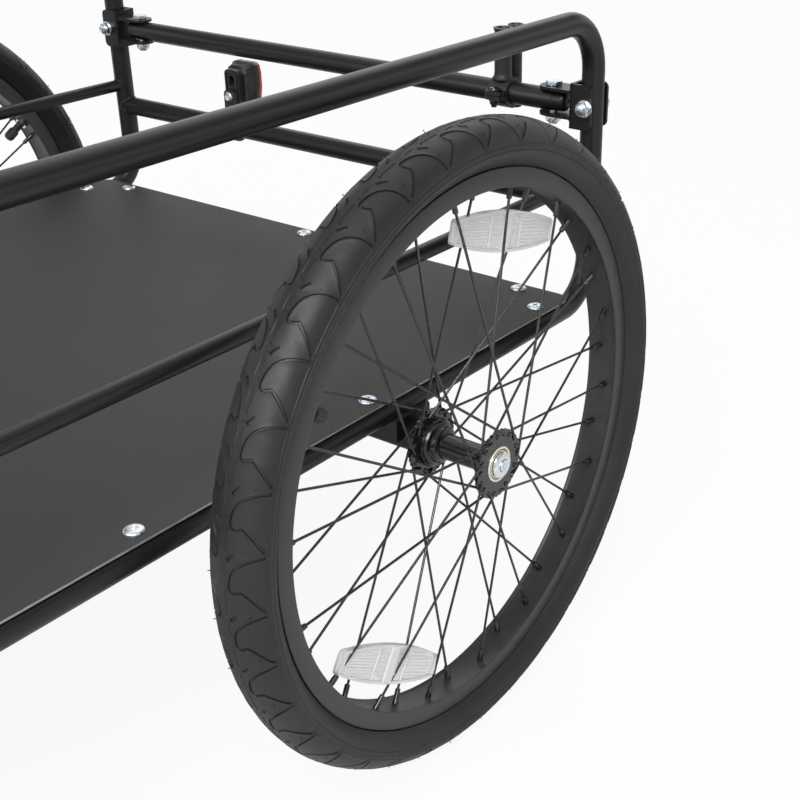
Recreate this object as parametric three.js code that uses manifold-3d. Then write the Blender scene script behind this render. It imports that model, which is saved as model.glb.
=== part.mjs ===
import * as THREE from 'three';
import { mergeVertices } from 'three/addons/utils/BufferGeometryUtils.js';
import Module from 'manifold-3d';

// Cargo trailer for a bicycle. A sheet deck lies between two looped tube side frames, carried by
// two spoked wheels on push-button axles, with a folding drawbar at the front left.
// Lengths are millimetres. x points forward, y to the left and z up, from the ground.

const wasm = await Module();
wasm.setup();

// Clearances and cuts
const fit = 0.3;
const overrun = 2;
const cornerTolerance = 0.0005;

// Facets
const wheelSides = 28;
const hubSides = 16;
const tubeSides = 12;
const boltSides = 8;
const hexSides = 6;
const spokeSides = 3;
const bendSteps = 4;
const cornerSteps = 1;
const arcSteps = 3;

// Wheel
const wheelRadius = 243;
const trackHalf = 351;
const tyreHalfWidth = 23.5;
const tyreHeight = 33;
const treadThickness = 4;
const sidewallThickness = 3.2;
const beadWidth = 4;
const crownShare = 0.59;
const sidewallWrap = THREE.MathUtils.degToRad(122);
const liningWrap = THREE.MathUtils.degToRad(112);
const tyreArcSteps = 3;
const liningArcSteps = 2;
const rimHalfWidth = 13.4;
const rimWall = 2.4;
const rimSideDepth = 14;
const rimBedDepth = 13;
const rimWellDepth = 10.5;
const beadSeatDepth = 7;
const rimWellHalfWidth = 5;
const innerTubeGap = 1.2;
const valveRadius = 4;
const valveLength = 25.5;
const valveAngle = THREE.MathUtils.degToRad(31.5);

// Hub, spokes and bearings
const flangeOffset = 30;
const flangeThickness = 3;
const flangeRadius = 27;
const barrelRadius = 9.5;
const collarRadius = 13;
const cupRadius = 17;
const hubBoreRadius = 8;
const collarOffset = 17;
const collarLength = 3;
const coneLength = 12;
const spokeCount = 36;
const spokeRadius = 1;
const spokeCircleRadius = 22.5;
const spokeFaceOffset = 2;
const rimSpread = 3;
const firstSpokeAngle = THREE.MathUtils.degToRad(4);
const spokeWrap = THREE.MathUtils.degToRad(60);
const bearingRadius = 14.5;
const bearingDepth = 8;
const bearingProud = 0.8;
const spokeReflectors = [
  { name: 'upper', angle: THREE.MathUtils.degToRad(110), tilt: THREE.MathUtils.degToRad(14.5), side: -1 },
  { name: 'lower', angle: THREE.MathUtils.degToRad(-51.9), tilt: THREE.MathUtils.degToRad(32.5), side: 1 },
];
const spokeReflectorRadiusShare = 0.825;
const spokeReflectorLengthShare = 0.62;
const spokeReflectorWidthShare = 0.152;
const spokeReflectorEndShare = 0.32;
const spokeReflectorThickness = 8;
const spokeReflectorOffset = 5;

// Push-button axles
const axleRadius = 6;
const axleHeadRadius = 11;
const axleHeadThickness = 3;
const axleHeadBevel = 1;
const axleGrip = 60;
const buttonRadius = 4.5;
const buttonLength = 5;
const buttonProud = 1;
const buttonTravel = 4;
const buttonStemRadius = 2.2;
const buttonStemLength = 30;

// Side frames
const tubeRadius = 9.5;
const tyreClearance = 25;
const uprightSpacing = 805.5;
const rearOverhang = 261;
const hoopHeight = 239.5;
const lowerBendRadius = 38;
const upperBendRadius = 42;
const midRailRadius = 6;
const upperBarShare = 0.7035;
const midRailShare = 0.453;
const midBarShare = 0.361;

// Axle tube
const axleTubeRadius = 12;
const saddleHeight = 3;
const saddleLength = 40;
const saddleWall = 2;
const cradleDepth = 5;

// Crossbars and corner brackets
const barRadius = 9.3;
const barEndInset = 24;
const barEndRound = 3;
const plateThickness = 2.5;
const webThickness = 3;
const webGap = 2.5;
const bracketHeight = 37;
const flangeReach = 9;
const flangeCornerRadius = 5;
const earLength = 38;
const earHalfWidth = 11;
const boltInset = 38;
const boltRadius = 4;
const nutRadius = 7.5;
const nutThickness = 6.5;
const boltHeadRadius = 7;
const boltHeadThickness = 5.3;
const boltHeadCrownShare = 0.6;

// Deck and lower crossmembers
const deckThickness = 2;
const deckSideLap = 7;
const deckBendLap = 4;
const deckCornerRadius = 14;
const crossmemberInset = 11;
const screwRadius = 7;
const screwHeight = 2.4;
const screwCrownShare = 0.45;
const screwSideInset = 12.5;
const screwRowShare = 0.84;
const screwColumnShares = [0.0515, 0.3505, 0.6495, 0.9485];

// Rear reflector
const rearReflectorSide = -130;
const reflectorWidth = 34;
const reflectorHeight = 44;
const reflectorDepth = 27;
const reflectorCorner = 4;
const reflectorLift = 9;
const lensThickness = 3;
const lensRim = 2.5;
const clampWall = 3.5;
const clampLength = 18;
const clampTongue = 26;

// Flag pole socket
const socketSide = 205;
const socketBlockHalfWidth = 9.5;
const socketBlockWall = 3.5;
const socketNose = 12;
const frontBarrelRadius = 7.5;
const rearBarrelRadius = 5.75;
const barrelBoreRadius = 4.3;
const barrelRise = 54;
const rearBarrelDrop = 16;
const barrelLip = 1.2;
const lipHeight = 3;
const frontBarrelLead = 3;
const socketBoltRadius = 2.5;
const socketBoltHead = 1.7;
const socketBoltInset = 5;

// Drawbar
const armRadius = 12.7;
const armWall = 2;
const pivotSide = 190;
const pivotLead = 31;
const armToe = THREE.MathUtils.degToRad(10);
const armLength = 540;
const armRise = 108;
const armFlatShare = 0.28;
const armClimbShare = 0.72;
const armBendRadius = 90;
const sleeveRadius = 15;
const pivotBoltRadius = 5;
const receiverPlate = 4;
const receiverHalfWidth = 22;
const receiverLobeRadius = 50;
const receiverDrop = 35;
const cradleHalfLength = 16;
const foldSweep = THREE.MathUtils.degToRad(80);
const clampBoltRadius = 4;
const clampLead = 37;
const clampKnobRadius = 14;
const clampHubRadius = 9;
const clampKnobHeight = 17;
const clampSlotClearance = 0.8;

// Coupling at the front of the drawbar
const headPlugLength = 36;
const headTongueLength = 34;
const tongueThickness = 9;
const tongueHalfHeight = 12;
const knuckleHalf = 12;
const knuckleWall = 5;
const knuckleReach = 34;
const couplingPinRadius = 4;
const couplingPinHead = 2;
const forkPlate = 6;
const forkLength = 46;
const forkHalfWidth = 13;
const forkGap = 22;
const hitchPinRadius = 4.7;
const hitchKnobRadius = 8;
const hitchKnobHeight = 9;
const hitchPinTail = 6;
const bailWire = 1.2;
const bailLength = 30;

// Places that follow from the sizes above
const facetShare = Math.cos(Math.PI / wheelSides);
const rimRadius = wheelRadius - tyreHeight;
const rimBedRadius = rimRadius - rimBedDepth;
const bedSlopeShare = (rimBedDepth - rimSideDepth) / rimHalfWidth;
const bedAtSpokes = rimBedRadius + (rimSpread - spokeRadius) * bedSlopeShare;
const beadSeatRadius = rimRadius - beadSeatDepth;
const hubHalf = flangeOffset + flangeThickness / 2;
const bearingFace = hubHalf + bearingProud;
const hoopSide = trackHalf - tyreHalfWidth - tyreClearance - tubeRadius;
const rearUprightX = -rearOverhang;
const frontUprightX = uprightSpacing - rearOverhang;
const bottomRailZ = wheelRadius + axleTubeRadius + saddleHeight + tubeRadius;
const topRailZ = bottomRailZ + hoopHeight;
const upperBarZ = bottomRailZ + hoopHeight * upperBarShare;
const midRailZ = bottomRailZ + hoopHeight * midRailShare;
const midBarZ = bottomRailZ + hoopHeight * midBarShare;
const axleTubeEnd = trackHalf - bearingFace - fit;
const flangeInner = tubeRadius + fit;
const flangeOuter = flangeInner + plateThickness;
const earInner = barRadius + fit;
const earOuter = earInner + plateThickness;
const webInner = tubeRadius + webGap;
const webOuter = webInner + webThickness;
const deckRear = rearUprightX + lowerBendRadius - deckBendLap;
const deckFront = frontUprightX - lowerBendRadius + deckBendLap;
const deckHalfWidth = hoopSide + deckSideLap;
const deckUnderside = bottomRailZ + tubeRadius + fit;
const deckTop = deckUnderside + deckThickness;
const pivotX = frontUprightX + tubeRadius + pivotLead;
const pivotZ = bottomRailZ - tubeRadius - receiverDrop - receiverPlate;
const sleeveHalfHeight = armRadius + fit;
const receiverInner = sleeveHalfHeight + fit;
const receiverOuter = receiverInner + receiverPlate;

// Finishes
function finish(color, roughness, metalness) {
  return new THREE.MeshStandardMaterial({ color, roughness, metalness });
}

function satinBlackPaint() {
  return finish(0x1d1d1f, 0.42, 0.3);
}

function charcoalDeckPaint() {
  return finish(0x4a4949, 0.55, 0.3);
}

function brightZinc() {
  return finish(0xc3c9d1, 0.3, 0.9);
}

function yellowZinc() {
  return finish(0xc9bd8e, 0.4, 0.7);
}

function tyreRubber() {
  return finish(0x2b2a2c, 0.8, 0);
}

function tubeRubber() {
  return finish(0x171717, 0.7, 0);
}

function rimBlack() {
  return finish(0x2c2b2e, 0.38, 0.6);
}

function hubEnamel() {
  return finish(0x1b1b1d, 0.28, 0.4);
}

function clearPlastic() {
  return finish(0xdfe3e6, 0.15, 0);
}

function redPlastic() {
  return finish(0xa3101a, 0.2, 0);
}

function blackPlastic() {
  return finish(0x19191b, 0.5, 0);
}

// Solids from three.js shapes
function facingOutward(positions, triangles) {
  const corner = (index) => new THREE.Vector3().fromArray(positions, index * 3);
  let volume = 0;
  for (let index = 0; index < triangles.length; index += 3) {
    const [first, second, third] = triangles.slice(index, index + 3).map(corner);
    volume += first.dot(second.cross(third));
  }
  if (volume >= 0) {
    return triangles;
  }
  return triangles.map((vertex, index) => triangles[index % 3 === 0 ? index : index + (index % 3 === 1 ? 1 : -1)]);
}

function solidOf(geometry) {
  const bare = geometry.clone();
  bare.deleteAttribute('normal');
  bare.deleteAttribute('uv');
  const merged = mergeVertices(bare, cornerTolerance);
  const positions = Float32Array.from(merged.attributes.position.array);
  const kept = [];
  for (let index = 0; index < merged.index.count; index += 3) {
    const [first, second, third] = merged.index.array.slice(index, index + 3);
    if (first !== second && second !== third && third !== first) {
      kept.push(first, second, third);
    }
  }
  const triVerts = Uint32Array.from(facingOutward(positions, kept));
  return new wasm.Manifold(new wasm.Mesh({ numProp: 3, vertProperties: positions, triVerts }));
}

function joined(solids) {
  return solids.reduce((whole, solid) => whole.add(solid));
}

function cutBy(solid, cutters) {
  return cutters.reduce((whole, cutter) => whole.subtract(cutter), solid);
}

function piece(name, solid, material) {
  const { vertProperties, triVerts } = solid.getMesh();
  const geometry = new THREE.BufferGeometry();
  geometry.setAttribute('position', new THREE.BufferAttribute(vertProperties, 3));
  geometry.setIndex(new THREE.BufferAttribute(triVerts, 1));
  geometry.computeVertexNormals();
  const mesh = new THREE.Mesh(geometry, material);
  mesh.name = name;
  return mesh;
}

function block(x, y, z) {
  const box = new THREE.BoxGeometry(Math.abs(x[1] - x[0]), Math.abs(y[1] - y[0]), Math.abs(z[1] - z[0]));
  box.translate((x[0] + x[1]) / 2, (y[0] + y[1]) / 2, (z[0] + z[1]) / 2);
  return solidOf(box);
}

function turnedShape(profile, sides) {
  return new THREE.LatheGeometry(profile.map(([radius, along]) => new THREE.Vector2(radius, along)), sides);
}

function turned(profile, sides) {
  return solidOf(turnedShape(profile, sides));
}

function turnedRing(profile, sides) {
  return turned([...profile, profile[0]], sides);
}

const alongAxis = {
  x: (shape) => shape.rotateZ(-Math.PI / 2),
  y: (shape) => shape,
  z: (shape) => shape.rotateX(Math.PI / 2),
};

function rod(axis, centre, radius, start, end, sides) {
  const profile = [[0, start], [radius, start], [radius, end], [0, end]];
  return solidOf(alongAxis[axis](turnedShape(profile, sides)).translate(...centre));
}

function turnedAlong(axis, centre, profile, sides) {
  return solidOf(alongAxis[axis](turnedShape(profile, sides)).translate(...centre));
}

// The bore of a hole whose flat sides clear a round shaft all the way round.
function clearBore(radius) {
  return (radius + fit) / Math.cos(Math.PI / boltSides);
}

function roundedOutline(u, v, radius) {
  const outline = new THREE.Shape();
  outline.absarc(u[1] - radius, v[1] - radius, radius, 0, Math.PI / 2);
  outline.absarc(u[0] + radius, v[1] - radius, radius, Math.PI / 2, Math.PI);
  outline.absarc(u[0] + radius, v[0] + radius, radius, Math.PI, Math.PI * 1.5);
  outline.absarc(u[1] - radius, v[0] + radius, radius, Math.PI * 1.5, Math.PI * 2);
  outline.closePath();
  return outline;
}

function sheetShape(outline, thickness, curveSegments = cornerSteps) {
  return new THREE.ExtrudeGeometry(outline, { depth: thickness, bevelEnabled: false, curveSegments });
}

// Turns a flat sheet, drawn in y and z, to stand across x.
function standingAcross(shape) {
  const toY = new THREE.Vector3(0, 1, 0);
  const toZ = new THREE.Vector3(0, 0, 1);
  const toX = new THREE.Vector3(1, 0, 0);
  return shape.applyMatrix4(new THREE.Matrix4().makeBasis(toY, toZ, toX));
}

// A tube route whose cross-sections stand only at its ends and through its bends.
class BentRoute extends THREE.Curve {
  constructor(stations) {
    super();
    this.stations = stations;
  }

  stationAt(share) {
    return this.stations[Math.round(share * (this.stations.length - 1))];
  }

  getPoint(share, target = new THREE.Vector3()) {
    return target.copy(this.stationAt(share).point);
  }

  getPointAt(share, target) {
    return this.getPoint(share, target);
  }

  getTangent(share, target = new THREE.Vector3()) {
    return target.copy(this.stationAt(share).heading);
  }

  getTangentAt(share, target) {
    return this.getTangent(share, target);
  }
}

function bendStations(before, corner, after, radius) {
  const back = before.clone().sub(corner).normalize();
  const ahead = after.clone().sub(corner).normalize();
  const half = back.angleTo(ahead) / 2;
  const setback = radius / Math.tan(half);
  const entry = corner.clone().addScaledVector(back, setback);
  const middle = back.clone().add(ahead).normalize();
  const centre = corner.clone().addScaledVector(middle, radius / Math.sin(half));
  const spoke = entry.clone().sub(centre);
  const heading = back.clone().negate();
  const turn = Math.PI - half * 2;
  return Array.from({ length: bendSteps + 1 }, (_, step) => {
    const angle = (turn * step) / bendSteps;
    const point = centre.clone();
    point.addScaledVector(spoke, Math.cos(angle));
    point.addScaledVector(heading, radius * Math.sin(angle));
    const direction = heading.clone().multiplyScalar(Math.cos(angle));
    direction.addScaledVector(spoke, -Math.sin(angle) / radius);
    return { point, heading: direction.normalize() };
  });
}

function tubeAlong(stations, radius, sides) {
  const section = new THREE.Shape();
  section.absarc(0, 0, radius, 0, Math.PI * 2);
  return new THREE.ExtrudeGeometry(section, {
    extrudePath: new BentRoute(stations),
    steps: stations.length - 1,
    curveSegments: sides / 2,
  });
}

function openTube(corners, radius, bendRadius, sides) {
  const headingFrom = (index) => corners[index + 1].clone().sub(corners[index]).normalize();
  const stations = [{ point: corners[0], heading: headingFrom(0) }];
  for (let index = 1; index < corners.length - 1; index += 1) {
    stations.push(...bendStations(corners[index - 1], corners[index], corners[index + 1], bendRadius));
  }
  const last = corners.length - 1;
  stations.push({ point: corners[last], heading: headingFrom(last - 1) });
  return solidOf(tubeAlong(stations, radius, sides));
}

// A closed loop starts half way along the side before its first corner and has no end faces.
function loopTube(corners, bendRadii, radius, sides) {
  const count = corners.length;
  const start = corners[count - 1].clone().add(corners[0]).multiplyScalar(0.5);
  const heading = corners[0].clone().sub(corners[count - 1]).normalize();
  const stations = [{ point: start, heading }];
  corners.forEach((corner, index) => {
    const before = corners[(index + count - 1) % count];
    const after = corners[(index + 1) % count];
    stations.push(...bendStations(before, corner, after, bendRadii[index]));
  });
  stations.push({ point: start, heading });
  const tube = tubeAlong(stations, radius, sides);
  const wall = tube.groups.find((group) => group.materialIndex === 1);
  const positions = tube.attributes.position.array.slice(wall.start * 3, (wall.start + wall.count) * 3);
  const skin = new THREE.BufferGeometry();
  skin.setAttribute('position', new THREE.BufferAttribute(positions, 3));
  return solidOf(skin);
}

// Wheel, with its centre at the origin and its outer side toward +y
function ellipseArc(centre, height, halfWidth, wrap, steps) {
  return Array.from({ length: steps * 2 + 1 }, (_, step) => {
    const angle = (wrap * (steps - step)) / steps;
    return [centre + height * Math.cos(angle), halfWidth * Math.sin(angle)];
  });
}

function tyreSolid() {
  const crownHeight = tyreHeight * crownShare;
  const centre = wheelRadius - crownHeight;
  const rimTop = rimRadius + fit;
  const beadOuter = rimHalfWidth - rimWall - fit;
  const beadInner = beadOuter - beadWidth;
  const beadFoot = beadSeatRadius + fit;
  const outside = ellipseArc(centre, crownHeight, tyreHalfWidth, sidewallWrap, tyreArcSteps);
  const liningHeight = crownHeight - treadThickness;
  const liningHalfWidth = tyreHalfWidth - sidewallThickness;
  const lining = ellipseArc(centre, liningHeight, liningHalfWidth, liningWrap, liningArcSteps);
  const bead = [[rimTop, beadOuter], [beadFoot, beadOuter], [beadFoot, beadInner], [rimTop, beadInner]];
  const mirrored = bead.map(([radius, side]) => [radius, -side]);
  return turnedRing([...outside, ...mirrored, ...lining.reverse(), ...bead.reverse()], wheelSides);
}

function valveRod(radius, start, end) {
  const shape = turnedShape([[0, start], [radius, start], [radius, end], [0, end]], boltSides);
  return solidOf(shape.rotateZ(-Math.PI / 2).rotateY(-valveAngle));
}

function innerTubeSolid() {
  const crownHeight = tyreHeight * crownShare;
  const centre = wheelRadius - crownHeight;
  const height = crownHeight - treadThickness - innerTubeGap;
  const halfWidth = tyreHalfWidth - sidewallThickness - innerTubeGap;
  const footRadius = rimRadius - rimWellDepth / 2;
  const footHalfWidth = rimHalfWidth - rimWall - beadWidth - fit * 3;
  const skin = ellipseArc(centre, height, halfWidth, liningWrap, liningArcSteps);
  const kneeRadius = rimRadius + fit;
  const foot = [[kneeRadius, -footHalfWidth], [footRadius, -footHalfWidth]];
  const mirroredFoot = foot.map(([radius, side]) => [radius, -side]).reverse();
  const stem = valveRod(valveRadius, rimBedRadius - valveLength, kneeRadius);
  return turnedRing([...skin, ...foot, ...mirroredFoot], wheelSides).add(stem);
}

function rimSolid() {
  const half = [
    [rimRadius - rimSideDepth, rimHalfWidth],
    [rimRadius, rimHalfWidth],
    [rimRadius, rimHalfWidth - rimWall],
    [beadSeatRadius, rimHalfWidth - rimWall],
    [beadSeatRadius, rimWellHalfWidth + rimWall],
    [rimRadius - rimWellDepth, rimWellHalfWidth],
  ];
  const mirrored = half.map(([radius, side]) => [radius, -side]).reverse();
  const rim = turnedRing([[rimBedRadius, 0], ...half, ...mirrored], wheelSides);
  return rim.subtract(valveRod(clearBore(valveRadius), rimBedRadius - overrun, rimRadius));
}

function spokeLines() {
  return Array.from({ length: spokeCount }, (_, index) => {
    const rimAngle = firstSpokeAngle + (index * Math.PI * 2) / spokeCount;
    const side = index % 2 === 0 ? 1 : -1;
    const leading = index % 4 < 2 ? 1 : -1;
    const hubAngle = rimAngle + spokeWrap * leading;
    const tip = bedAtSpokes * facetShare - fit;
    const start = new THREE.Vector3(
      spokeCircleRadius * Math.cos(hubAngle),
      side * (flangeOffset + spokeFaceOffset * leading),
      spokeCircleRadius * Math.sin(hubAngle),
    );
    const end = new THREE.Vector3(tip * Math.cos(rimAngle), side * rimSpread, tip * Math.sin(rimAngle));
    return { start, end };
  });
}

function spokeSolid({ start, end }, clearance) {
  const length = start.distanceTo(end);
  const wire = spokeRadius + clearance;
  const shape = turnedShape([[0, 0], [wire, 0], [wire, length], [0, length]], spokeSides);
  const upright = new THREE.Vector3(0, 1, 0);
  const turn = new THREE.Quaternion().setFromUnitVectors(upright, end.clone().sub(start).normalize());
  shape.applyQuaternion(turn);
  return solidOf(shape.translate(start.x, start.y, start.z));
}

function hubSolid() {
  const seatRadius = bearingRadius + fit;
  const flangeInnerFace = flangeOffset - flangeThickness / 2;
  const cupStart = collarOffset + collarLength;
  const coneEnd = flangeInnerFace;
  const seatFloor = hubHalf - bearingDepth;
  const shell = turnedRing([
    [flangeRadius, -hubHalf],
    [flangeRadius, -flangeInnerFace],
    [cupRadius, -flangeInnerFace],
    [cupRadius, -cupStart],
    [collarRadius, -cupStart],
    [collarRadius, -collarOffset],
    [barrelRadius, -collarOffset],
    [barrelRadius, coneEnd - coneLength],
    [cupRadius, coneEnd],
    [flangeRadius, flangeInnerFace],
    [flangeRadius, hubHalf],
    [seatRadius, hubHalf],
    [seatRadius, seatFloor],
    [hubBoreRadius, seatFloor],
    [hubBoreRadius, -seatFloor],
    [seatRadius, -seatFloor],
    [seatRadius, -hubHalf],
  ], hubSides);
  return joined([shell, ...spokeLines().map((line) => spokeSolid(line, 0))]);
}

function bearingSolid(side) {
  const bore = axleRadius + fit;
  const inner = side * (hubHalf - bearingDepth + fit);
  const outer = side * bearingFace;
  return turnedRing([[bore, inner], [bearingRadius, inner], [bearingRadius, outer], [bore, outer]], hubSides);
}

function axleSolid() {
  const seat = bearingFace + fit;
  const face = seat + axleHeadThickness;
  const tip = -(bearingFace + fit + axleGrip);
  const recess = buttonRadius + fit;
  const recessFloor = face - (buttonLength - buttonProud) - buttonTravel - fit;
  const bore = buttonStemRadius + fit;
  const boreFloor = recessFloor - buttonStemLength;
  return turned([
    [0, tip],
    [axleRadius - axleHeadBevel, tip],
    [axleRadius, tip + axleHeadBevel],
    [axleRadius, seat],
    [axleHeadRadius, seat],
    [axleHeadRadius, face - axleHeadBevel],
    [axleHeadRadius - axleHeadBevel, face],
    [recess, face],
    [recess, recessFloor],
    [bore, recessFloor],
    [bore, boreFloor],
    [0, boreFloor],
  ], tubeSides);
}

function axleButtonSolid() {
  const face = bearingFace + fit + axleHeadThickness + buttonProud;
  const shoulder = face - buttonLength;
  const tip = shoulder - buttonStemLength + fit;
  return turned([
    [0, tip],
    [buttonStemRadius, tip],
    [buttonStemRadius, shoulder],
    [buttonRadius, shoulder],
    [buttonRadius, face - buttonProud / 2],
    [buttonRadius - buttonProud / 2, face],
    [0, face],
  ], boltSides);
}

function spokeReflectorSolid({ angle, tilt, side }) {
  const halfLength = (rimBedRadius * spokeReflectorLengthShare) / 2;
  const halfWidth = (rimBedRadius * spokeReflectorWidthShare) / 2;
  const endHalf = halfWidth * spokeReflectorEndShare;
  const lens = new THREE.Shape();
  lens.moveTo(-halfLength, -endHalf);
  lens.quadraticCurveTo(0, -halfWidth * 2 + endHalf, halfLength, -endHalf);
  lens.lineTo(halfLength, endHalf);
  lens.quadraticCurveTo(0, halfWidth * 2 - endHalf, -halfLength, endHalf);
  lens.closePath();
  const body = sheetShape(lens, spokeReflectorThickness, arcSteps);
  body.translate(0, 0, -spokeReflectorThickness / 2);
  const reach = rimBedRadius * spokeReflectorRadiusShare;
  body.rotateX(-Math.PI / 2).rotateY(-tilt);
  body.translate(reach * Math.cos(angle), side * spokeReflectorOffset, reach * Math.sin(angle));
  return cutBy(solidOf(body), spokeLines().map((line) => spokeSolid(line, fit)));
}

function wheelGroup(name) {
  const group = new THREE.Group();
  group.name = name;
  group.add(piece(`${name}_tyre`, tyreSolid(), tyreRubber()));
  group.add(piece(`${name}_inner_tube`, innerTubeSolid(), tubeRubber()));
  group.add(piece(`${name}_rim`, rimSolid(), rimBlack()));
  group.add(piece(`${name}_hub_and_spokes`, hubSolid(), hubEnamel()));
  group.add(piece(`${name}_outer_bearing`, bearingSolid(1), yellowZinc()));
  group.add(piece(`${name}_inner_bearing`, bearingSolid(-1), yellowZinc()));
  group.add(piece(`${name}_axle`, axleSolid(), brightZinc()));
  group.add(piece(`${name}_axle_button`, axleButtonSolid(), brightZinc()));
  spokeReflectors.forEach((reflector) => {
    group.add(piece(`${name}_${reflector.name}_reflector`, spokeReflectorSolid(reflector), clearPlastic()));
  });
  return group;
}

// Side frames
function hoopCorners(side) {
  const corner = (x, z) => new THREE.Vector3(x, side * hoopSide, z);
  return [
    corner(frontUprightX, bottomRailZ),
    corner(frontUprightX, topRailZ),
    corner(rearUprightX, topRailZ),
    corner(rearUprightX, bottomRailZ),
  ];
}

function sideFrameSolid(side) {
  const corners = hoopCorners(side);
  const radii = [lowerBendRadius, upperBendRadius, upperBendRadius, lowerBendRadius];
  const hoop = loopTube(corners, radii, tubeRadius, tubeSides);
  const railCentre = [0, side * hoopSide, midRailZ];
  const rail = rod('x', railCentre, midRailRadius, rearUprightX, frontUprightX, tubeSides);
  const boltHoles = [rearUprightX, frontUprightX].map((x) => {
    const reach = tubeRadius + overrun;
    return rod('x', [x, side * hoopSide, upperBarZ], clearBore(boltRadius), -reach, reach, boltSides);
  });
  return cutBy(hoop.add(rail), boltHoles);
}

// Crossbars
function upperBarSolid(x) {
  const end = hoopSide - barEndInset;
  const outside = [
    [0, -end],
    [barRadius - barEndRound, -end],
    [barRadius, -end + barEndRound],
    [barRadius, end - barEndRound],
    [barRadius - barEndRound, end],
    [0, end],
  ];
  const bar = turnedAlong('y', [x, 0, upperBarZ], outside, tubeSides);
  const holes = [-1, 1].map((side) => {
    const reach = barRadius + overrun;
    return rod('z', [x, side * (hoopSide - boltInset), upperBarZ], clearBore(boltRadius), -reach, reach, boltSides);
  });
  return cutBy(bar, holes);
}

function crossTubeSolid(x, z, radius) {
  const end = hoopSide - tubeRadius - fit;
  return rod('y', [x, 0, z], radius, -end, end, tubeSides);
}

// Corner brackets, drawn about the point where the crossbar's line meets the upright
function bracketSolid(x, side) {
  const half = bracketHeight / 2;
  const y = side * hoopSide;
  const web = block(
    [x - flangeOuter, x + flangeOuter],
    [y - side * webInner, y - side * webOuter],
    [upperBarZ - half, upperBarZ + half],
  );
  const flanges = [-flangeOuter, flangeInner].map((start) => {
    const outline = new THREE.Shape();
    outline.moveTo(-webOuter, -half);
    outline.lineTo(flangeReach - flangeCornerRadius, -half);
    outline.lineTo(flangeReach, flangeCornerRadius - half);
    outline.lineTo(flangeReach, half - flangeCornerRadius);
    outline.lineTo(flangeReach - flangeCornerRadius, half);
    outline.lineTo(-webOuter, half);
    outline.closePath();
    const sheet = standingAcross(sheetShape(outline, plateThickness)).scale(1, side, 1);
    return solidOf(sheet.translate(x + start, y, upperBarZ));
  });
  const ears = [-earOuter, earInner].map((start) => {
    const outline = new THREE.Shape();
    outline.moveTo(earHalfWidth, -webInner);
    outline.lineTo(-earHalfWidth, -webInner);
    outline.lineTo(-earHalfWidth, earHalfWidth - webInner - earLength);
    outline.absarc(0, earHalfWidth - webInner - earLength, earHalfWidth, Math.PI, Math.PI * 2);
    outline.closePath();
    const sheet = sheetShape(outline, plateThickness, arcSteps).scale(1, side, 1);
    return solidOf(sheet.translate(x, y, upperBarZ + start));
  });
  const crossReach = flangeOuter + overrun;
  const crossHole = rod('x', [x, y, upperBarZ], clearBore(boltRadius), -crossReach, crossReach, boltSides);
  const upReach = earOuter + overrun;
  const upHole = rod('z', [x, y - side * boltInset, upperBarZ], clearBore(boltRadius), -upReach, upReach, boltSides);
  return cutBy(joined([web, ...flanges, ...ears]), [crossHole, upHole]);
}

// A bolt whose head is toward the far end of its axis, or the near end where facing is -1
function boltSolid(axis, centre, radius, gripHalf, facing = 1) {
  const headSeat = gripHalf + fit;
  const headTop = headSeat + boltHeadThickness;
  const nutSeat = -(gripHalf + fit);
  const nutFace = nutSeat - nutThickness;
  const tail = nutFace - plateThickness;
  return turnedAlong(axis, centre, [
    [0, tail],
    [radius, tail],
    [radius, nutFace],
    [nutRadius, nutFace],
    [nutRadius, nutSeat],
    [radius, nutSeat],
    [radius, headSeat],
    [boltHeadRadius, headSeat],
    [boltHeadRadius, headTop - boltHeadThickness / 3],
    [boltHeadRadius * boltHeadCrownShare, headTop],
    [0, headTop],
  ].map(([reach, along]) => [reach, along * facing]), hexSides);
}

// Axle tube with its two saddles
function axleTubeSolid() {
  const bore = axleRadius + fit;
  const socketDepth = axleGrip + overrun + fit;
  const tube = rod('y', [0, 0, 0], axleTubeRadius, -axleTubeEnd, axleTubeEnd, tubeSides);
  const railUnderside = bottomRailZ - tubeRadius - wheelRadius;
  const saddles = [-1, 1].map((side) => {
    const half = tubeRadius + saddleWall;
    return block(
      [-saddleLength / 2, saddleLength / 2],
      [side * (hoopSide - half), side * (hoopSide + half)],
      [0, railUnderside + cradleDepth],
    );
  });
  const cuts = [-1, 1].map((side) => {
    const reach = saddleLength / 2 + overrun;
    return rod('x', [0, side * hoopSide, bottomRailZ - wheelRadius], tubeRadius + fit, -reach, reach, tubeSides);
  });
  const socketCuts = [-1, 1].map((side) => {
    return rod('y', [0, 0, 0], bore, side * (axleTubeEnd - socketDepth), side * (axleTubeEnd + overrun), tubeSides);
  });
  return cutBy(joined([tube, ...saddles]), [...cuts, ...socketCuts]);
}

// Deck sheet with its screw heads
function deckScrewPlaces() {
  const length = deckFront - deckRear;
  const rowXs = [deckRear + crossmemberInset, deckFront - crossmemberInset];
  const places = rowXs.flatMap((x) => [-1, 0, 1].map((share) => [x, share * deckHalfWidth * screwRowShare]));
  screwColumnShares.forEach((share) => {
    [-1, 1].forEach((side) => {
      places.push([deckRear + length * share, side * (deckHalfWidth - screwSideInset)]);
    });
  });
  return places;
}

function deckSolid() {
  const outline = roundedOutline([deckRear, deckFront], [-deckHalfWidth, deckHalfWidth], deckCornerRadius);
  const sheet = solidOf(sheetShape(outline, deckThickness).translate(0, 0, deckUnderside));
  const screws = deckScrewPlaces().map(([x, y]) => turnedAlong('z', [x, y, deckTop], [
    [0, 0],
    [screwRadius, 0],
    [screwRadius * screwCrownShare, screwHeight],
    [0, screwHeight],
  ], boltSides));
  return joined([sheet, ...screws]);
}

// Rear reflector on the middle crossbar
function reflectorFront() {
  return rearUprightX;
}

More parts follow.
